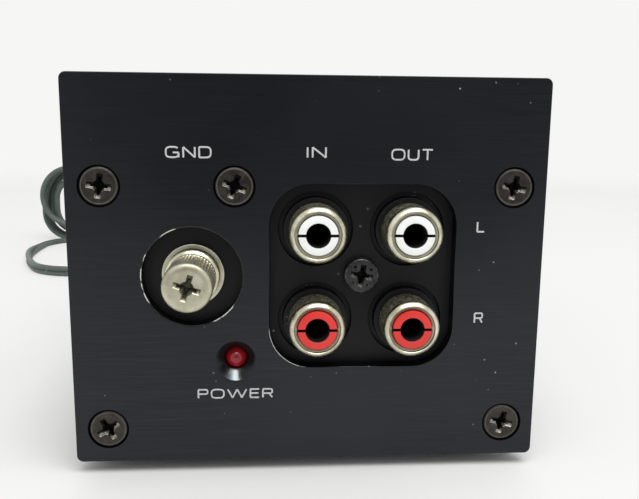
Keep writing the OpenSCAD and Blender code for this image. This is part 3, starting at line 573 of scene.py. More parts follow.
def brushed_anodised_aluminium():
    """Black anodised plate, brushed from side to side. Fine lines, 0.14 mm apart and nearly a centimetre
    long, draw out the reflections upwards; the dyed skin is nearly black, dusty, and abraded to bare metal on
    its rims. A painted highlight runs down the lower side of the light's cone, and painted shade darkens the
    countersinks round the screws."""
    finish = Finish("brushed_anodised_aluminium", "#37393c", "#303235", 40, (0.27, 0.34), 1.0,
                    Anisotropic=0.3, Anisotropic_Rotation=0.25)
    finish.tree.links.new(node(finish.tree, "Tangent", direction_type="RADIAL", axis="Z"),
                          finish.shader.inputs["Tangent"])
    lines = finish.grains(0.14, 1, (60, 1, 1))
    finish.coat(finish.where((lines, 0.45, 0.8)), "#393b3f")
    finish.relief(lines, 0.00006)
    # painted highlight: a pale strip down the lower side of the light's cone, where the lamp's reflection falls
    finish.coat_marked("painted_cone_highlight", "#878d8f", 0.2)
    # painted shade: near black in the countersinks round the screws
    finish.coat_marked("painted_shade", "#0b0b0c", 0.8)
    wear_and_painted_highlight = node(finish.tree, "Attribute", attribute_name="wear_and_painted_highlight", out="Fac")
    finish.coat(finish.where((wear_and_painted_highlight, 0.3, 0.7), (finish.grains(1.6, 3), 0.34, 0.42)), "#f6f7f2", 0.5)
    finish.coat(finish.where((finish.specks(2.4), 0.07, 0.04), (finish.grains(9), 0.5, 0.6)), "#a2a3a5", 0.6)
    return finish.done()


def satin_enamel(name, light, dark, shine=0.4):
    """Baked black enamel on sheet steel: even and satin, with a faint orange peel of 0.8 mm and some dust."""
    finish = Finish(name, light, dark, 30, (0.42, 0.52), Specular_IOR_Level=shine)
    finish.relief(finish.grains(0.8, 2), 0.006)
    finish.coat(finish.where((finish.specks(3.1), 0.08, 0.04), (finish.grains(8), 0.5, 0.62)), "#77787a", 0.7)
    return finish.done()


def black_oxide_steel(name, light, dark):
    """Blackened steel screws: nearly black, faintly mottled by the bath, scuffed bright on rims; a painted
    highlight on a recess' lower slopes, and painted shade in the rest of it.
    """
    finish = Finish(name, light, dark, 1.1, (0.3, 0.46), 0.9)
    finish.relief(finish.grains(0.35, 3), 0.01)
    # painted shade: near black deep in the cross recess
    finish.coat_marked("painted_shade", "#0e0d0d", 0.7)
    wear_and_painted_highlight = node(finish.tree, "Attribute", attribute_name="wear_and_painted_highlight", out="Fac")
    # bright where scuffed on the rims, and a painted highlight on the recess' lower slopes
    finish.coat(finish.where((wear_and_painted_highlight, 0.2, 1), (finish.grains(0.7), 0.25, 0.42)), "#cfc8be", 0.3)
    return finish.done()


def nickel_plate():
    """Nickel plate on turned brass: warm grey metal, hazed by years of handling, with pits of 0.4 mm
    where the plate has dulled on the barrels."""
    finish = Finish("nickel_plate", "#e6e3cd", "#b1ad94", 2.2, (0.22, 0.32))
    tarnish = node(finish.tree, "Attribute", attribute_name="tarnish", out="Fac")
    bare = node(finish.tree, "MapRange", {"Value": tarnish, "To Min": 1.0, "To Max": 0.3})
    finish.tree.links.new(bare, finish.shader.inputs["Metallic"])
    pits = finish.where((tarnish, 0.55, 0.95), (finish.grains(0.42, 4), 0.45, 0.53))
    finish.coat(tarnish, "#85816c", 0.48)
    finish.coat(pits, "#2b2a22", 0.6)
    # painted shade: near black in the grooves, gaps and recesses that a piece marks
    finish.coat_marked("painted_shade", "#15140f", 0.7)
    finish.relief(pits, -0.02)
    finish.relief(finish.grains(0.3, 2), 0.0012)
    return finish.done()


def plated_steel(name, light, dark, size, rough=(0.3, 0.42)):
    """Bright plating over pressed metal: thin crystals and handling haze break up the shine."""
    finish = Finish(name, light, dark, size, rough, 1.0)
    finish.relief(finish.grains(0.25, 3), 0.003)
    return finish.done()


def moulded_plastic(name, light, dark, rough, grain=0.3, relief=0.002, dust=1.0, **sockets):
    """Moulded plastic: one even colour under a fine spark-eroded grain, with a soft sheen, and painted shade in
    its gaps. A dust below 1 scatters pale specks over it, thicker in patches of a few millimetres."""
    finish = Finish(name, light, dark, 6, rough, **sockets)
    finish.relief(finish.grains(grain, 3), relief)
    # painted shade: near black where a piece marks its gaps and hollows
    finish.coat_marked("painted_shade", "#0e0e0e", 0.7)
    if dust < 1:
        patches = finish.grains(5), dust, dust + 0.1
        finish.coat(finish.where((finish.specks(0.9), 0.12, 0.05), patches), "#8b8e92", 0.8)
    return finish.done()


def clear_red_lens():
    """Red epoxy of a small light-emitting diode: glossy, deep and glowing a little from within."""
    finish = Finish("clear_red_lens", "#8e1420", "#6a0c16", 2.0, (0.04, 0.07), Transmission_Weight=0.08,
                    Coat_Weight=0.2, Specular_IOR_Level=0.4, Emission_Strength=0.05)
    finish.shader.inputs["Emission Color"].default_value = srgb("#ff2a30")
    finish.relief(finish.grains(0.8, 2), 0.002)
    return finish.done()


def soft_rubber():
    """Nitrile rubber feet: dull black, a fine matt grain and dust that clings to it."""
    finish = Finish("soft_rubber", "#2a2a2b", "#1b1b1c", 5, (0.72, 0.86))
    finish.relief(finish.grains(0.35, 3), 0.012)
    finish.coat(finish.where((finish.specks(1.7), 0.1, 0.04)), "#59595a", 0.9)
    return finish.done()


def laminate():
    """Paper laminate of the circuit board: tan resin with the paper's fibres and a matt solder mask over it."""
    finish = Finish("laminate", "#9a7a45", "#86683a", 7, (0.4, 0.5))
    finish.coat(finish.where((finish.grains(0.35, 3, (5, 1, 1)), 0.5, 0.75)), "#a98a54")
    finish.relief(finish.grains(0.3, 2, (4, 1, 1)), 0.004)
    return finish.done()


BAND = tau / 20  # a wave texture of scale 1 has its bands this far apart, in metres


def silicon_steel():
    """Stacked silicon steel sheets of the transformer: their layers show as fine lines under dull varnish."""
    finish = Finish("silicon_steel", "#6b6862", "#4c4a46", 3, (0.4, 0.55), 0.8)
    layers = node(finish.tree, "TexWave", {
        "Vector": finish.place, "Scale": BAND / (1.0 * MM), "Distortion": 0.6},
        bands_direction="X", out="Fac")
    finish.coat(finish.where((layers, 0.35, 0.1)), "#2c2b29", 0.7)
    finish.relief(layers, 0.03)
    return finish.done()


def winding_wrap():
    """Polyester tape round the winding: amber film in overlapping 6 mm turns, glossy where it is taut."""
    finish = Finish("winding_wrap", "#d0a24a", "#b98a38", 6, (0.2, 0.34), Coat_Weight=0.2)
    turns = node(finish.tree, "TexWave", {
        "Vector": finish.place, "Scale": BAND / (6.0 * MM), "Distortion": 0.3},
        bands_direction="Z", out="Fac")
    finish.coat(finish.where((turns, 0.2, 0.04)), "#9c7330")
    finish.relief(turns, 0.05)
    return finish.done()


def pvc_sleeve(name, light, dark):
    """Soft vinyl over stranded wire: even colour, a low gloss and the faint lay of the strands, 0.6 mm long."""
    finish = Finish(name, light, dark, 4, (0.34, 0.46))
    finish.relief(finish.grains(0.6, 2), 0.01)
    return finish.done()


def flat_cord_vinyl():
    """Flat twin cord in grey-black vinyl: a soft gloss that picks up the pale table, painted shade in the
    groove between the two cores, with chalky scuffs a few millimetres long."""
    finish = Finish("flat_cord_vinyl", "#5c6963", "#4a5651", 9, (0.36, 0.5), Specular_IOR_Level=0.55)
    # painted shade along the groove between the cores
    finish.coat_marked("groove", "#1f2624", 0.6)
    finish.coat(finish.where((finish.grains(2.4, 3), 0.6, 0.8)), "#76827c", 0.6)
    finish.relief(finish.grains(0.5, 2), 0.006)
    return finish.done()


def legend_ink():
    """Silk-screened ink: pale grey, matt, thin enough to let the brushing break it up a little."""
    finish = Finish("legend_ink", "#ccd0d0", "#b6babb", 0.5, (0.55, 0.7))
    finish.coat(finish.where((finish.grains(0.18, 2, (20, 1, 1)), 0.66, 0.85)), "#8d9092")
    return finish.done()


FINISHES = {
    "black_anodised": brushed_anodised_aluminium(),
    "tray_paint": satin_enamel("black_tray_enamel", "#131316", "#0e0e11", 0.25),
    "cover_paint": satin_enamel("black_cover_enamel", "#1d1d1f", "#161618"),
    "black_screw": black_oxide_steel("brown_black_oxide_steel", "#494541", "#35322f"),
    "nickel": nickel_plate(),
    # painted shade: the contacts are coloured near black, as they look deep in the jacks' holes
    "contact_metal": plated_steel("shade_darkened_contact_brass", "#2a2620", "#171512", 1.0, (0.5, 0.6)),
    "white_plastic": moulded_plastic("white_polyacetal", "#f8faf9", "#eff1ef", (0.34, 0.44)),
    "red_plastic": moulded_plastic("red_polyacetal", "#e3342e", "#d52924", (0.34, 0.44)),
    "black_plastic": moulded_plastic("black_abs", "#121317", "#0c0d10", (0.42, 0.54), 0.4, 0.006, 0.42,
                                     Specular_IOR_Level=0.3),
    "red_lens": clear_red_lens(),
    "black_rubber": soft_rubber(),
    "zinc": plated_steel("zinc_plated_steel", "#b9bcbd", "#979b9e", 2.5),
    "tinned_wire": plated_steel("tinned_copper_wire", "#c4c5c2", "#a3a4a1", 1.2, (0.24, 0.36)),
    "board_laminate": laminate(),
    "spacer_brass": plated_steel("turned_brass", "#c9a858", "#a98a42", 1.6, (0.24, 0.36)),
    "chip_plastic": moulded_plastic("moulded_epoxy", "#2b2b2c", "#202021", (0.5, 0.62), 0.25, 0.008),
    "blue_sleeve": moulded_plastic("blue_shrink_sleeve", "#2a4a84", "#213c6d", (0.22, 0.32), 1.2, 0.006),
    "red_film": moulded_plastic("red_dipped_resin", "#9c3a26", "#84301f", (0.18, 0.28), 1.6, 0.02),
    "tan_coating": moulded_plastic("tan_resistor_lacquer", "#c6a87a", "#b39566", (0.3, 0.42), 0.5, 0.01),
    "core_steel": silicon_steel(),
    "winding_tape": winding_wrap(),
    "grey_wire": pvc_sleeve("grey_vinyl_sleeve", "#8f9193", "#7c7e80"),
    "green_wire": pvc_sleeve("green_vinyl_sleeve", "#2f7a4c", "#27683f"),
    "cord_vinyl": flat_cord_vinyl(),
    "plug_vinyl": moulded_plastic("black_plug_vinyl", "#343b39", "#272d2b", (0.42, 0.54), 0.5, 0.012),
    "blade_metal": plated_steel("nickel_plated_brass", "#cfccbc", "#b1ae9d", 1.4, (0.2, 0.3)),
}
INK = legend_ink()
JACK_SCREW = black_oxide_steel("grey_black_oxide_steel", "#4c4c4d", "#343435")


# ---------- pieces ----------

def mark(piece, name, level):
    """Stores a level on each point of the piece, worked out from its place in millimetres. A test is 1 or 0."""
    layer = piece.data.attributes.new(name, "FLOAT", "POINT")
    for point, stored in zip(piece.data.vertices, layer.data):
        stored.value = float(level(*(c / MM for c in point.co)))


SKIN = 0.004  # deeper than this a point of the panel lies in a hole or a rim
RUBBED = (112, 127), (152, 160), (172, 192), (199, 212), (298, 326)  # degrees round the ground opening
CONE_HIGHLIGHT_HALF_W = 0.95  # half the width of the painted highlight strip down the lower side of the light's cone


def panel_wear(x, y, z):
    """Bare metal in the rounded rim of the openings: in strokes left and lower right of the ground opening,
    lower left of the jack opening and under it."""
    if not FACE + SKIN < y < FACE + 0.12:
        return 0.0
    gx, gz = x - GROUND_AT[0], z - GROUND_AT[1]
    if hypot(gx, gz) < GROUND_HOLE_D / 2 + 0.5:
        angle = degrees(atan2(gz, gx)) % 360
        return 1.0 if any(low < angle < high for low, high in RUBBED) else 0.34
    jx, jz = x - JACK_AT[0], z - JACK_AT[1]
    if abs(jx) < 15 and abs(jz) < 15:
        return 1.0 if jx < -9 and jz < -8 or jz < -14 and abs(jx) < 3 else 0.3
    return 0.0


def plate_and_case():
    """The front plate, chassis, cover and jack block keep the model's shapes, with broken edges."""
    plate = dressed_copy("front_panel", "anodised_front_plate", 0.13, segments=4)
    rim = GROUND_HOLE_D / 2 + 0.13
    wider = (rim + 0.12) / rim
    resize(plate, (wider, 1, wider), (GROUND_AT[0], 0, GROUND_AT[1]), lambda at, normal: at.y < FACE + 0.002
           and abs(hypot(at.x - GROUND_AT[0], at.z - GROUND_AT[1]) - rim) < 0.03)
    mark(plate, "wear_and_painted_highlight", panel_wear)
    # the painted highlight's strip, strongest down its middle, in the lower half of the light's cone
    mark(plate, "painted_cone_highlight", lambda x, y, z: max(0.0, 1 - abs(x - LIGHT_AT[0]) / CONE_HIGHLIGHT_HALF_W)
         if y > FACE + 0.03 and hypot(x - LIGHT_AT[0], z - LIGHT_AT[1]) < 3.4 and z < LIGHT_AT[1] else 0.0)
    # painted shade in the countersinks round the panel screws
    mark(plate, "painted_shade", lambda x, y, z: y > FACE + SKIN
         and any(hypot(x - sx, z - sz) < 3.4 for sx, sz, _ in PANEL_SCREWS))
    smooth(plate, 30)
    fit(plate, "black_anodised", "front_panel")
    for node_name, name, slot, width in (
            ("chassis", "enamelled_chassis", "tray_paint", 0.12),
            ("case_cover", "enamelled_cover", "cover_paint", 0.2),
            ("jack_block", "moulded_jack_block", "black_plastic", 0.18)):
        piece = dressed_copy(node_name, name, width)
        smooth(piece, 30)
        fit(piece, slot, node_name)


SHOULDER = 0.085  # depth of a recess' shoulder, over its size
ABOVE = 0.4  # how far a cutter stands out of the face that it cuts


def cross_cutters(size, depth, top, arm=0.125, shoulder=(0.52, 1.4, 0.86, 0.42), core=0.6):
    """The shape of a cross recess: two blades with sloping shoulders, and the cone where they meet.
    The shoulder is its reach and half width over the size and the arm, and how much its floor is smaller."""
    cutters = []
    for turn in (0, 90):
        for floor, reach, half, taper in (
                (SHOULDER * size, shoulder[0] * size, shoulder[1] * arm * size, shoulder[2:]),
                (depth, 0.44 * size, core * arm * size, (0.5, 0.8))):
            blade = block("blade", (-reach, top - ABOVE, -half), (reach, top + floor, half))
            resize(blade, (taper[0], 1, taper[1]), (0, top + floor, 0),
                   lambda at, normal: normal.y > 0.9, "FACE")
            blade.rotation_euler = (0, radians(turn), 0)
            take(blade)
            settle()
            cutters.append(blade)
    clear()
    length = depth + 0.5
    bpy.ops.mesh.primitive_cone_add(
        vertices=24, radius1=0.28 * size * MM, radius2=0.1 * size * MM, depth=length * MM,
        location=(0, (top - ABOVE + length / 2) * MM, 0), rotation=(-pi / 2, 0, 0))
    settle()
    return cutters + [bpy.context.object]


def recess_level(x, y, z, size, top):
    """0 outside a cross recess, 1 on its lower slopes, which catch the light, and 2 in its dark rest."""
    if hypot(x, z) > 0.55 * size or y < top + 0.012:
        return 0
    low = z < -0.05 and (abs(x) > abs(z) or z < -0.4 * size)
    return 1 if low and y < top + SHOULDER * size + 0.05 else 2


def crossed(piece, size, depth, top, rim, wear_and_painted_highlight):
    """Cuts a cross recess into a screw's head, breaks the edges, marks rim wear, painted highlight and painted
    shade.
    """
    cut_away(piece, *cross_cutters(size, depth, top))
    soften(piece, 0.05, angle=38)

    # wear on the rim of the head, and a painted highlight on the recess' lower slopes
    def rim_wear_and_slope_highlight(x, y, z):
        if abs(hypot(x, z) - rim[0]) < 0.1 and y < rim[1]:
            return 0.3
        return wear_and_painted_highlight if recess_level(x, y, z, size, top) == 1 else 0.0

    mark(piece, "wear_and_painted_highlight", rim_wear_and_slope_highlight)
    # painted shade, near black, in the rest of the recess
    mark(piece, "painted_shade", lambda x, y, z: 0.85 if recess_level(x, y, z, size, top) == 2 else 0.0)
    smooth(piece, 38)
    return piece


def flat_head_screw():
    radius = FLAT_HEAD_D / 2
    screw = turned("panel_screw_set", [
        (2.45, 0.02), (radius - 0.36, 0.03), (radius - 0.26, 0.06), (radius - 0.12, 0.12),
        (radius - 0.02, 0.22), (radius, 0.3), (radius - 0.1, 0.45), (1.52, 1.6), (1.5, 1.8), (1.5, 6.6),
        (1.15, 7.0)])
    return crossed(screw, FLAT_CROSS, 1.5, 0.02, (radius - 0.3, 0.08), 0.75)


def pan_head_screw(name, length, dimples=False):
    """A pan head under which the shank starts at depth 0."""
    radius = PAN_HEAD_D / 2
    screw = turned(name, [
        (2.3, -PAN_HEAD_H), (2.5, -1.46), (2.63, -1.36), (radius, -1.18), (radius, -0.02), (radius - 0.05, 0.0),
        (1.5, 0.0), (1.5, length - 0.4), (1.15, length)])
    if dimples:
        clear()
        bpy.ops.mesh.primitive_uv_sphere_add(segments=12, ring_count=8, radius=0.24 * MM)
        spots = (polar(1.75, angle) for angle in (45, 135, 225, 315))
        places = [((x, -PAN_HEAD_H - 0.05, z), (0, 0, 0)) for x, z in spots]
        cut_away(screw, copies(bpy.context.object, places))
    return crossed(screw, PAN_CROSS, 1.2, -PAN_HEAD_H, (2.6, -1.3), 0.4)


def screws():
    places = [on_face((x, z), turn) for x, z, turn in PANEL_SCREWS]
    fit(copies(flat_head_screw(), places), "black_screw", "panel_screws")
    places = [((side * CASE_HALF_W, y, COVER_SCREW_Z), (0, 20 * side, 90 * side))
              for side in (-1, 1) for y in COVER_SCREW_Y]
    fit(copies(pan_head_screw("cover_screw_set", 4.5), places), "black_screw", "cover_screws")
    places = [((JACK_AT[0], FACE + PANEL_T, JACK_AT[1]), (0, 10, 0))]
    fit(copies(pan_head_screw("jack_block_screw", 8.0, dimples=True), places), "black_screw", "jack_screw",
        material=JACK_SCREW)


def ground_terminal():
    """The knurled screw and its loose washer, which ride on their own bodies."""
    screw = turned("knurled_ground_screw", [
        (2.5, KNOB_TOP), (2.95, -7.96), (3.28, -7.84), (3.5, -7.64), (3.6, -7.4), (3.61, -7.2),
        (KNOB_R, -7.12), (KNOB_R, -1.25), (3.6, -1.2), (3.4, -1.16), (3.42, -1.02), (3.48, -0.9), (3.64, -0.8),
        (3.7, -0.76), (4.0, -0.58), (4.07, -0.5), (4.1, -0.36), (4.1, 0.1), (4.1, 0.25), (4.1, 1.2),
        (4.02, 1.35), (2.0, 1.36), (2.0, 10.3), (1.8, 10.5)], sides=3 * RIDGES)
    cut_away(screw, *cross_cutters(KNOB_CROSS, 2.0, KNOB_TOP, 0.12, (0.54, 1.55, 0.8, 0.25), 0.5))
    soften(screw, 0.05, angle=50)
    resize(screw, (0.955, 1, 0.955), (0, 0, 0), lambda at, normal: -7.15 < at.y < -1.22
           and abs(hypot(at.x, at.z) - KNOB_R) < 0.02
           and round(atan2(at.z, at.x) / tau * 3 * RIDGES) % 3 == 0)
    mark(screw, "tarnish", lambda x, y, z: 0.35 if y < -7.1 else 0.2 if y < -1.19 else 0.0)
    # painted shade behind the washer, in the groove under the knurl and deep in the cross recess
    mark(screw, "painted_shade", lambda x, y, z: 1.0 if y > 0.2 or 3.0 < hypot(x, z) < 3.67 and -1.21 < y < -0.78
         else 0.7 if recess_level(x, y, z, KNOB_CROSS, KNOB_TOP) == 2 else 0.0)
    smooth(screw, 28)
    fit(copies(screw, [on_face(GROUND_AT, 17)]), "nickel", "ground_screw", body="terminal_screw")
    washer = turned("captive_washer", [
        (2.15, 1.42), (3.86, 1.41), (3.98, 1.41), (4.58, 1.4), (4.7, 1.46), (4.75, 1.6), (4.75, 2.05),
        (4.68, 2.18), (4.5, 2.2), (2.15, 2.2)], sides=96, hollow=True)
    mark(washer, "tarnish", lambda x, y, z: 0.3 if y < 1.42 else 0.0)
    # painted shade: a dark ring on the washer next to the screw's collar
    mark(washer, "painted_shade", lambda x, y, z: hypot(x, z) < 3.9)
    smooth(washer)
    fit(copies(washer, [on_face(GROUND_AT)]), "nickel", "ground_washer", body="washer")


def jacks():
    """Four plated shells with rolled rims, and the split insulator inside each."""
    shell = turned("plated_jack_shells", [
        (3.9, 11.5), (3.9, 1.62), (4.15, 1.5), (4.2, 1.3), (4.22, -3.0), (4.25, -3.3), (4.25, -3.6),
        (4.22, -3.8), (4.12, -4.0), (3.96, -4.19), (3.78, -4.36), (3.64, -4.46), (3.54, -4.49), (3.47, -4.42),
        (3.43, -4.1), (3.36, -4.06), (3.06, -3.96), (2.99, -3.88), (2.98, -3.5), (3.15, -3.3), (3.15, 11.5)],
        sides=96, hollow=True)
    mark(shell, "tarnish", lambda x, y, z: 0.55 if hypot(x, z) < 3.4 else 1.0 if y > -3.1 else 0.0)
    # painted shade in the thin groove inside the rim and in the bore behind it
    mark(shell, "painted_shade", lambda x, y, z: 3.4 < hypot(x, z) < 3.45 or hypot(x, z) < 3.0)
    smooth(shell)
    places = [on_face(at, 47 * k) for k, at in enumerate(JACKS)]
    fit(copies(shell, places), "nickel", "jack_shells")
    for tone, row in (("white", JACKS[:2]), ("red", JACKS[2:])):
        insulator = turned(tone + "_split_insulators", [
            (1.76, -4.1), (1.8, -4.38), (1.88, -4.44), (2.82, -4.44), (2.9, -4.4), (2.93, -4.32),
            (2.93, -3.4), (3.1, -3.1), (3.1, 11.4), (2.1, 11.4), (2.1, -2.2), (1.76, -2.25)],
            sides=96, hollow=True)
        cut_away(insulator, block("slit", (-4, -5, -0.2), (4, -2.4, 0.2)))
        soften(insulator, 0.04, angle=50)
        # painted shade inside the insulator, in its slit and in its centre hole
        mark(insulator, "painted_shade",
             lambda x, y, z: y > -4.0 or y > -4.41 and (abs(z) < 0.22 or hypot(x, z) < 1.84))
        smooth(insulator)
        fit(copies(insulator, [on_face(at) for at in row]), tone + "_plastic", tone + "_insulators")


def light_lens():
    """The round tip of the light, with the flange behind it."""
    dome = [(1.6 * sin(radians(a)), 2.4 - 1.6 * cos(radians(a))) for a in range(6, 91, 7)]
    flange = [(1.55, 2.5), (1.5, 2.6), (1.5, 5.0), (1.62, 5.05), (1.62, 5.5), (1.5, 5.6)]
    lens = turned("light_lens_dome", dome + flange, sides=48)
    smooth(lens, 50)
    fit(copies(lens, [on_face(LIGHT_AT)]), "red_lens", "light_lens")


def feet():
    foot = turned("rubber_foot_set", [
        (2.0, 0.62), (2.1, 0.5), (2.1, 0.1), (2.25, 0.0), (5.1, 0.0), (5.4, 0.08), (5.75, 0.5), (5.85, 1.0),
        (6.0, 2.7), (5.9, 2.95), (5.7, FOOT_H)])
    smooth(foot, 40)
    places = [((x, y, 0), (90, 0, 0)) for x in (-FOOT_X, FOOT_X) for y in FOOT_Y]
    fit(copies(foot, places), "black_rubber", "rubber_feet")


def strain_relief():
    """A ribbed bush that tapers along the cord, with a flange on each side of the rear wall."""
    steps = [(6.3, 117.0), (6.5, 117.2), (6.5, 118.8), (6.3, 119.0), (4.9, 119.0), (4.9, 120.0), (6.3, 120.0),
             (6.5, 120.2), (6.5, 121.3), (6.35, 121.7), (5.9, 122.0)]
    for k in range(5):
        r, y = 5.0 - 0.5 * k, 122.0 + 4 * k
        steps += [(r - 0.1, y + 0.02), (r, y + 0.2), (r, y + 2.2), (r - 0.14, y + 2.45), (r - 0.5, y + 2.8),
                  (r - 0.5, y + 3.98)]
    steps += [(2.95, 142.0), (3.0, 142.2), (3.0, 143.5), (2.8, 143.85), (2.4, 144.0)]
    relief = turned("ribbed_strain_relief", steps)
    smooth(relief, 40)
    fit(copies(relief, [on_face(RELIEF_AT)]), "black_plastic", "strain_relief")


def bundle_tie():
    """A soft strap round the bundle, its end lapped over its front."""
    x0, x1 = TIE_X - TIE_W / 2, TIE_X + TIE_W / 2
    front, back = HANK_FRONT - TIE_OUT, HANK_FRONT + 3 * HANK_PITCH + TIE_OUT
    strap = block("vinyl_strap", (x0, front, 0), (x1, back, HANK_H))
    edit(strap)
    pick(lambda at, normal: abs(normal.x) > 0.9)
    bpy.ops.mesh.delete(type="FACE")
    pick(lambda at, along: abs(along.normalized().x) > 0.9, "EDGE")
    bpy.ops.mesh.bevel(offset=TIE_ROUND * MM, segments=6, affect="EDGES")
    bpy.ops.object.mode_set(mode="OBJECT")
    apply_modifier(strap, "SOLIDIFY", thickness=TIE_T * MM, offset=-1)
    lap = block("lap", (x0, front - 0.7, TIE_LAP[0]), (x1, front + 0.1, TIE_LAP[1]))
    take(strap, lap)
    bpy.ops.object.join()
    soften(strap, 0.18, angle=50)
    smooth(strap, 40)
    return fit(strap, "plug_vinyl", "cord_tie")


def mains_plug():
    """A moulded plug with grip ribs on its upper side, and its two blades."""
    body = dressed_copy("plug_body", "moulded_plug", 0.7, segments=3)
    x, y, z = PLUG_AT
    rib = block("rib", (-0.6, -7.5, -0.35), (0.6, 7.5, 0.35))
    soften(rib, 0.25)
    ribs = copies(rib, [((x + 6.5 + 2.6 * k, y, z + PLUG_H / 2), (0, 0, 0)) for k in range(4)])
    take(body, ribs)
    bpy.ops.object.join()
    smooth(body)
    blades = dressed_copy("plug_blades", "plug_blade_pair", 0.3)
    smooth(blades, 30)
    return [fit(body, "plug_vinyl", "plug_body"), fit(blades, "blade_metal", "plug_blades")]


# ---------- legends ----------

def bow(cx, cy, rx, ry, start, end):
    """Part of a squarish oval, for the round strokes of a letter."""
    angles = [radians(start + (end - start) * k / 16) for k in range(17)]
    return [(cx + rx * copysign(abs(cos(a)) ** 0.62, cos(a)),
             cy + ry * copysign(abs(sin(a)) ** 0.62, sin(a))) for a in angles]


# Each letter is its width and its strokes, over a height of 1.
LETTERS = {
    "D": (0.94, [[(0, 0), (0, 1)], [(0, 1), (0.45, 1)] + bow(0.45, 0.5, 0.49, 0.5, 90, -90) + [(0, 0)]]),
    "E": (0.8, [[(0, 0), (0, 1)], [(0, 1), (0.8, 1)], [(0, 0.52), (0.74, 0.52)], [(0, 0), (0.8, 0)]]),
    "G": (1.06, [bow(0.53, 0.5, 0.53, 0.5, 40, 330) + [(1.04, 0.44)], [(1.04, 0.0), (1.04, 0.46)],
                 [(0.58, 0.46), (1.04, 0.46)]]),
    "I": (0.0, [[(0, 0), (0, 1)]]),
    "L": (0.74, [[(0, 0), (0, 1)], [(0, 0), (0.74, 0)]]),
    "N": (0.94, [[(0, 0), (0, 1)], [(0, 1), (0.94, 0)], [(0.94, 0), (0.94, 1)]]),
    "O": (1.14, [bow(0.57, 0.5, 0.57, 0.5, 0, 180), bow(0.57, 0.5, 0.57, 0.5, 180, 360)]),
    "P": (0.84, [[(0, 0), (0, 1)], [(0, 1), (0.58, 1)] + bow(0.58, 0.74, 0.26, 0.26, 90, -90) + [(0, 0.48)]]),
    "R": (0.86, [[(0, 0), (0, 1)], [(0, 1), (0.6, 1)] + bow(0.6, 0.74, 0.26, 0.26, 90, -90) + [(0, 0.48)],
                 [(0.56, 0.48), (0.86, 0)]]),
    "T": (0.94, [[(0, 1), (0.94, 1)], [(0.47, 0), (0.47, 1)]]),
    "U": (0.92, [[(0, 1), (0, 0.42)] + bow(0.46, 0.42, 0.46, 0.42, 180, 360) + [(0.92, 1)]]),
    "W": (1.72, [[(0, 1), (0.43, 0)], [(0.43, 0), (0.86, 1)], [(0.86, 1), (1.29, 0)], [(1.29, 0), (1.72, 1)]]),
}
# Each word with its middle across and up, its width and the height of its letters.
LEGENDS = [("GND", -17.9, 50.0, 6.8, 1.8), ("IN", 0.9, 50.1, 3.0, 1.8), ("OUT", 15.2, 49.85, 6.4, 1.8),
           ("L", 26.1, 39.0, 1.35, 1.8), ("R", 26.4, 24.65, 1.5, 1.8), ("POWER", -11.4, 12.85, 11.7, 1.65)]
STROKE = 0.29  # width of a stroke of ink
LETTER_GAP = 0.36  # between letters, over their height before they are stretched to the word's width


def legends():
    """The printed words that name the terminals, as flat strokes of ink on the plate."""
    ink = bpy.data.curves.new("printed_legends", "CURVE")
    ink.dimensions, ink.bevel_depth, ink.bevel_resolution, ink.use_fill_caps = "3D", STROKE / 2 * MM, 1, True
    for word, x, z, width, cap in LEGENDS:
        tall = cap - STROKE
        natural = sum(LETTERS[c][0] for c in word) + LETTER_GAP * (len(word) - 1)
        across = (width - STROKE) / natural if natural else 1.0
        start = x - (width - STROKE) / 2
        for letter in word:
            for stroke in LETTERS[letter][1]:
                spline = ink.splines.new("POLY")
                spline.points.add(len(stroke) - 1)
                for point, (u, v) in zip(spline.points, stroke):
                    point.co = ((start + u * across) * MM, FACE * MM, (z - tall / 2 + v * tall) * MM, 1)
            start += (LETTERS[letter][0] + LETTER_GAP) * across
    words = bpy.data.objects.new("printed_legends", ink)
    link(words)
    take(words)
    bpy.ops.object.convert(target="MESH")
    words = bpy.context.object
    resize(words, (1, 0.1, 1), (0, FACE, 0), lambda at, normal: True)
    fit(words, "white_plastic", material=INK)


# ---------- stage ----------

BACKDROP = "#f6f6f5"
DIM_ROOM = "#56565a"  # what the front mirrors: the room before it is darker than the backdrop
DIM_TOWARD = (-0.8, -0.985)  # the Y of a ray's direction where it starts to dim and where it is fully dim
DOME = "#cbcbcb"  # the light that falls on surfaces from all round
TABLE_SIZE = 8.0  # from here on lengths are in metres
FADE = (0.16, 0.7)  # the table passes into the backdrop from the first to the second distance
FAR_OFF, BESIDE = (0.08, 0.18, 0.4), (0.038, 0.056, 0.55)  # the eye sees it lighter there, by up to the last
DIM_AT, DIM_SHAPE, DIM_EDGE = (0.06, -0.8, 0), (1.8, 1, 1), (0.66, 0.46)  # the oval that the front mirrors
SOFT_BOX, SOFT_BOX_AT, SOFT_BOX_POWER = (0.9, 0.6), (0.12, -0.42, 0.88), 6.2
SOFT_BOX_AWAY = (0.12, -0.38, 0.86)  # the direction that its back faces


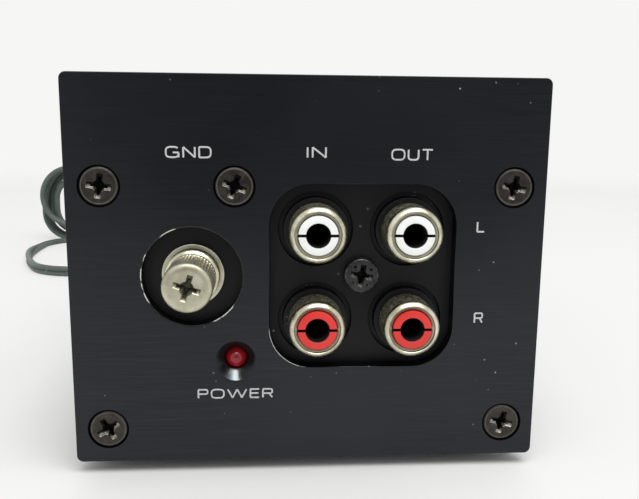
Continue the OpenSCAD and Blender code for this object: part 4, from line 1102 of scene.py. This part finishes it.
def table_top():
    """A plain pale table that passes into the backdrop, without a horizon. Away from the part and beside the
    case the eye sees it a little lighter than it is lit; what the front mirrors of it is dim as the room."""
    clear()
    bpy.ops.mesh.primitive_plane_add(size=TABLE_SIZE)
    table = bpy.context.object
    table.name = "table_top"
    finish = Finish("pale_table_laminate", "#f7f7f5", "#f3f3f1", 120, (0.5, 0.6), Specular_IOR_Level=0.3)
    tree = finish.tree
    finish.done()
    path = node(tree, "LightPath", out=None)
    x = node(tree, "SeparateXYZ", {0: finish.place})
    aside = node(tree, "Math", {0: x}, operation="ABSOLUTE")
    far = node(tree, "VectorMath", {0: finish.place}, operation="LENGTH", out="Value")
    faded = node(tree, "MapRange", {"Value": far, "From Min": FADE[0], "From Max": FADE[1]},
                 interpolation_type="SMOOTHSTEP")
    lifted = 0.0
    for place, (start, end, most) in ((far, FAR_OFF), (aside, BESIDE)):
        lift = node(tree, "MapRange", {"Value": place, "From Min": start, "From Max": end, "To Max": most})
        lifted = node(tree, "Math", {0: lifted, 1: lift}, operation="MAXIMUM")
    lifted = node(tree, "Math", {0: path["Is Camera Ray"], 1: lifted}, operation="MULTIPLY")
    faded = node(tree, "Math", {0: faded, 1: lifted}, operation="MAXIMUM")
    narrow = node(tree, "VectorMath", {0: finish.place, 1: DIM_SHAPE}, operation="MULTIPLY")
    apart = node(tree, "VectorMath", {0: narrow, 1: DIM_AT}, operation="DISTANCE", out="Value")
    dim = node(tree, "MapRange", {"Value": apart, "From Min": DIM_EDGE[0], "From Max": DIM_EDGE[1]})
    dim = node(tree, "Math", {0: dim, 1: path["Is Glossy Ray"]}, operation="MULTIPLY")
    colour = node(tree, "Mix", {0: dim, 6: srgb(BACKDROP), 7: srgb(DIM_ROOM)}, data_type="RGBA", out=2)
    faded = node(tree, "Math", {0: faded, 1: dim}, operation="MAXIMUM")
    glow = node(tree, "Emission", {"Color": colour})
    mixed = node(tree, "MixShader", {0: faded, 1: finish.shader.outputs[0], 2: glow})
    tree.links.new(mixed, tree.nodes["Material Output"].inputs["Surface"])
    table.data.materials.append(finish.material)


def studio():
    """An even dome of light, with the pale backdrop for the eye and for reflections, where it is dim behind
    the camera, and a large soft box above."""
    world = bpy.data.worlds.new("studio")
    bpy.context.scene.world = world
    world.use_nodes = True
    tree = world.node_tree
    toward = node(tree, "SeparateXYZ", {0: node(tree, "TexCoord", out="Generated")}, out=None)
    path = node(tree, "LightPath", out=None)
    dim = node(tree, "MapRange", {"Value": toward[1], "From Min": DIM_TOWARD[0], "From Max": DIM_TOWARD[1]})
    unseen = node(tree, "Math", {0: 1.0, 1: path["Is Camera Ray"]}, operation="SUBTRACT")
    dim = node(tree, "Math", {0: dim, 1: unseen}, operation="MULTIPLY")
    backdrop = node(tree, "Mix", {0: dim, 6: srgb(BACKDROP), 7: srgb(DIM_ROOM)}, data_type="RGBA", out=2)
    shown = path["Is Camera Ray"]
    for ray in ("Is Glossy Ray", "Is Transmission Ray"):
        shown = node(tree, "Math", {0: shown, 1: path[ray]}, operation="MAXIMUM")
    colour = node(tree, "Mix", {0: shown, 6: srgb(DOME), 7: backdrop}, data_type="RGBA", out=2)
    tree.links.new(colour, tree.nodes["Background"].inputs["Color"])
    lamp = bpy.data.lights.new("soft_box", "AREA")
    lamp.shape, lamp.energy = "RECTANGLE", SOFT_BOX_POWER
    lamp.size, lamp.size_y = SOFT_BOX
    box = bpy.data.objects.new("soft_box", lamp)
    box.location = SOFT_BOX_AT
    box.rotation_euler = Vector(SOFT_BOX_AWAY).to_track_quat("Z", "Y").to_euler()
    link(box)


# ---------- the part ----------

scene = bpy.context.scene
scene.view_settings.view_transform = "Standard"
set_camera()
studio()
table_top()

for entry in frame["record"]["subparts"]:
    owner = NODES[entry["node"]]
    owner.data.materials.clear()
    owner.data.materials.append(FINISHES[entry["material_slot"]])

cord, route = make_cord()
fit(cord, "cord_vinyl", "power_cord", "cord_hank", "plug_lead")
strap = bundle_tie()
plug = mains_plug()

plate_and_case()
screws()
ground_terminal()
jacks()
light_lens()
feet()
strain_relief()
legends()
clear()
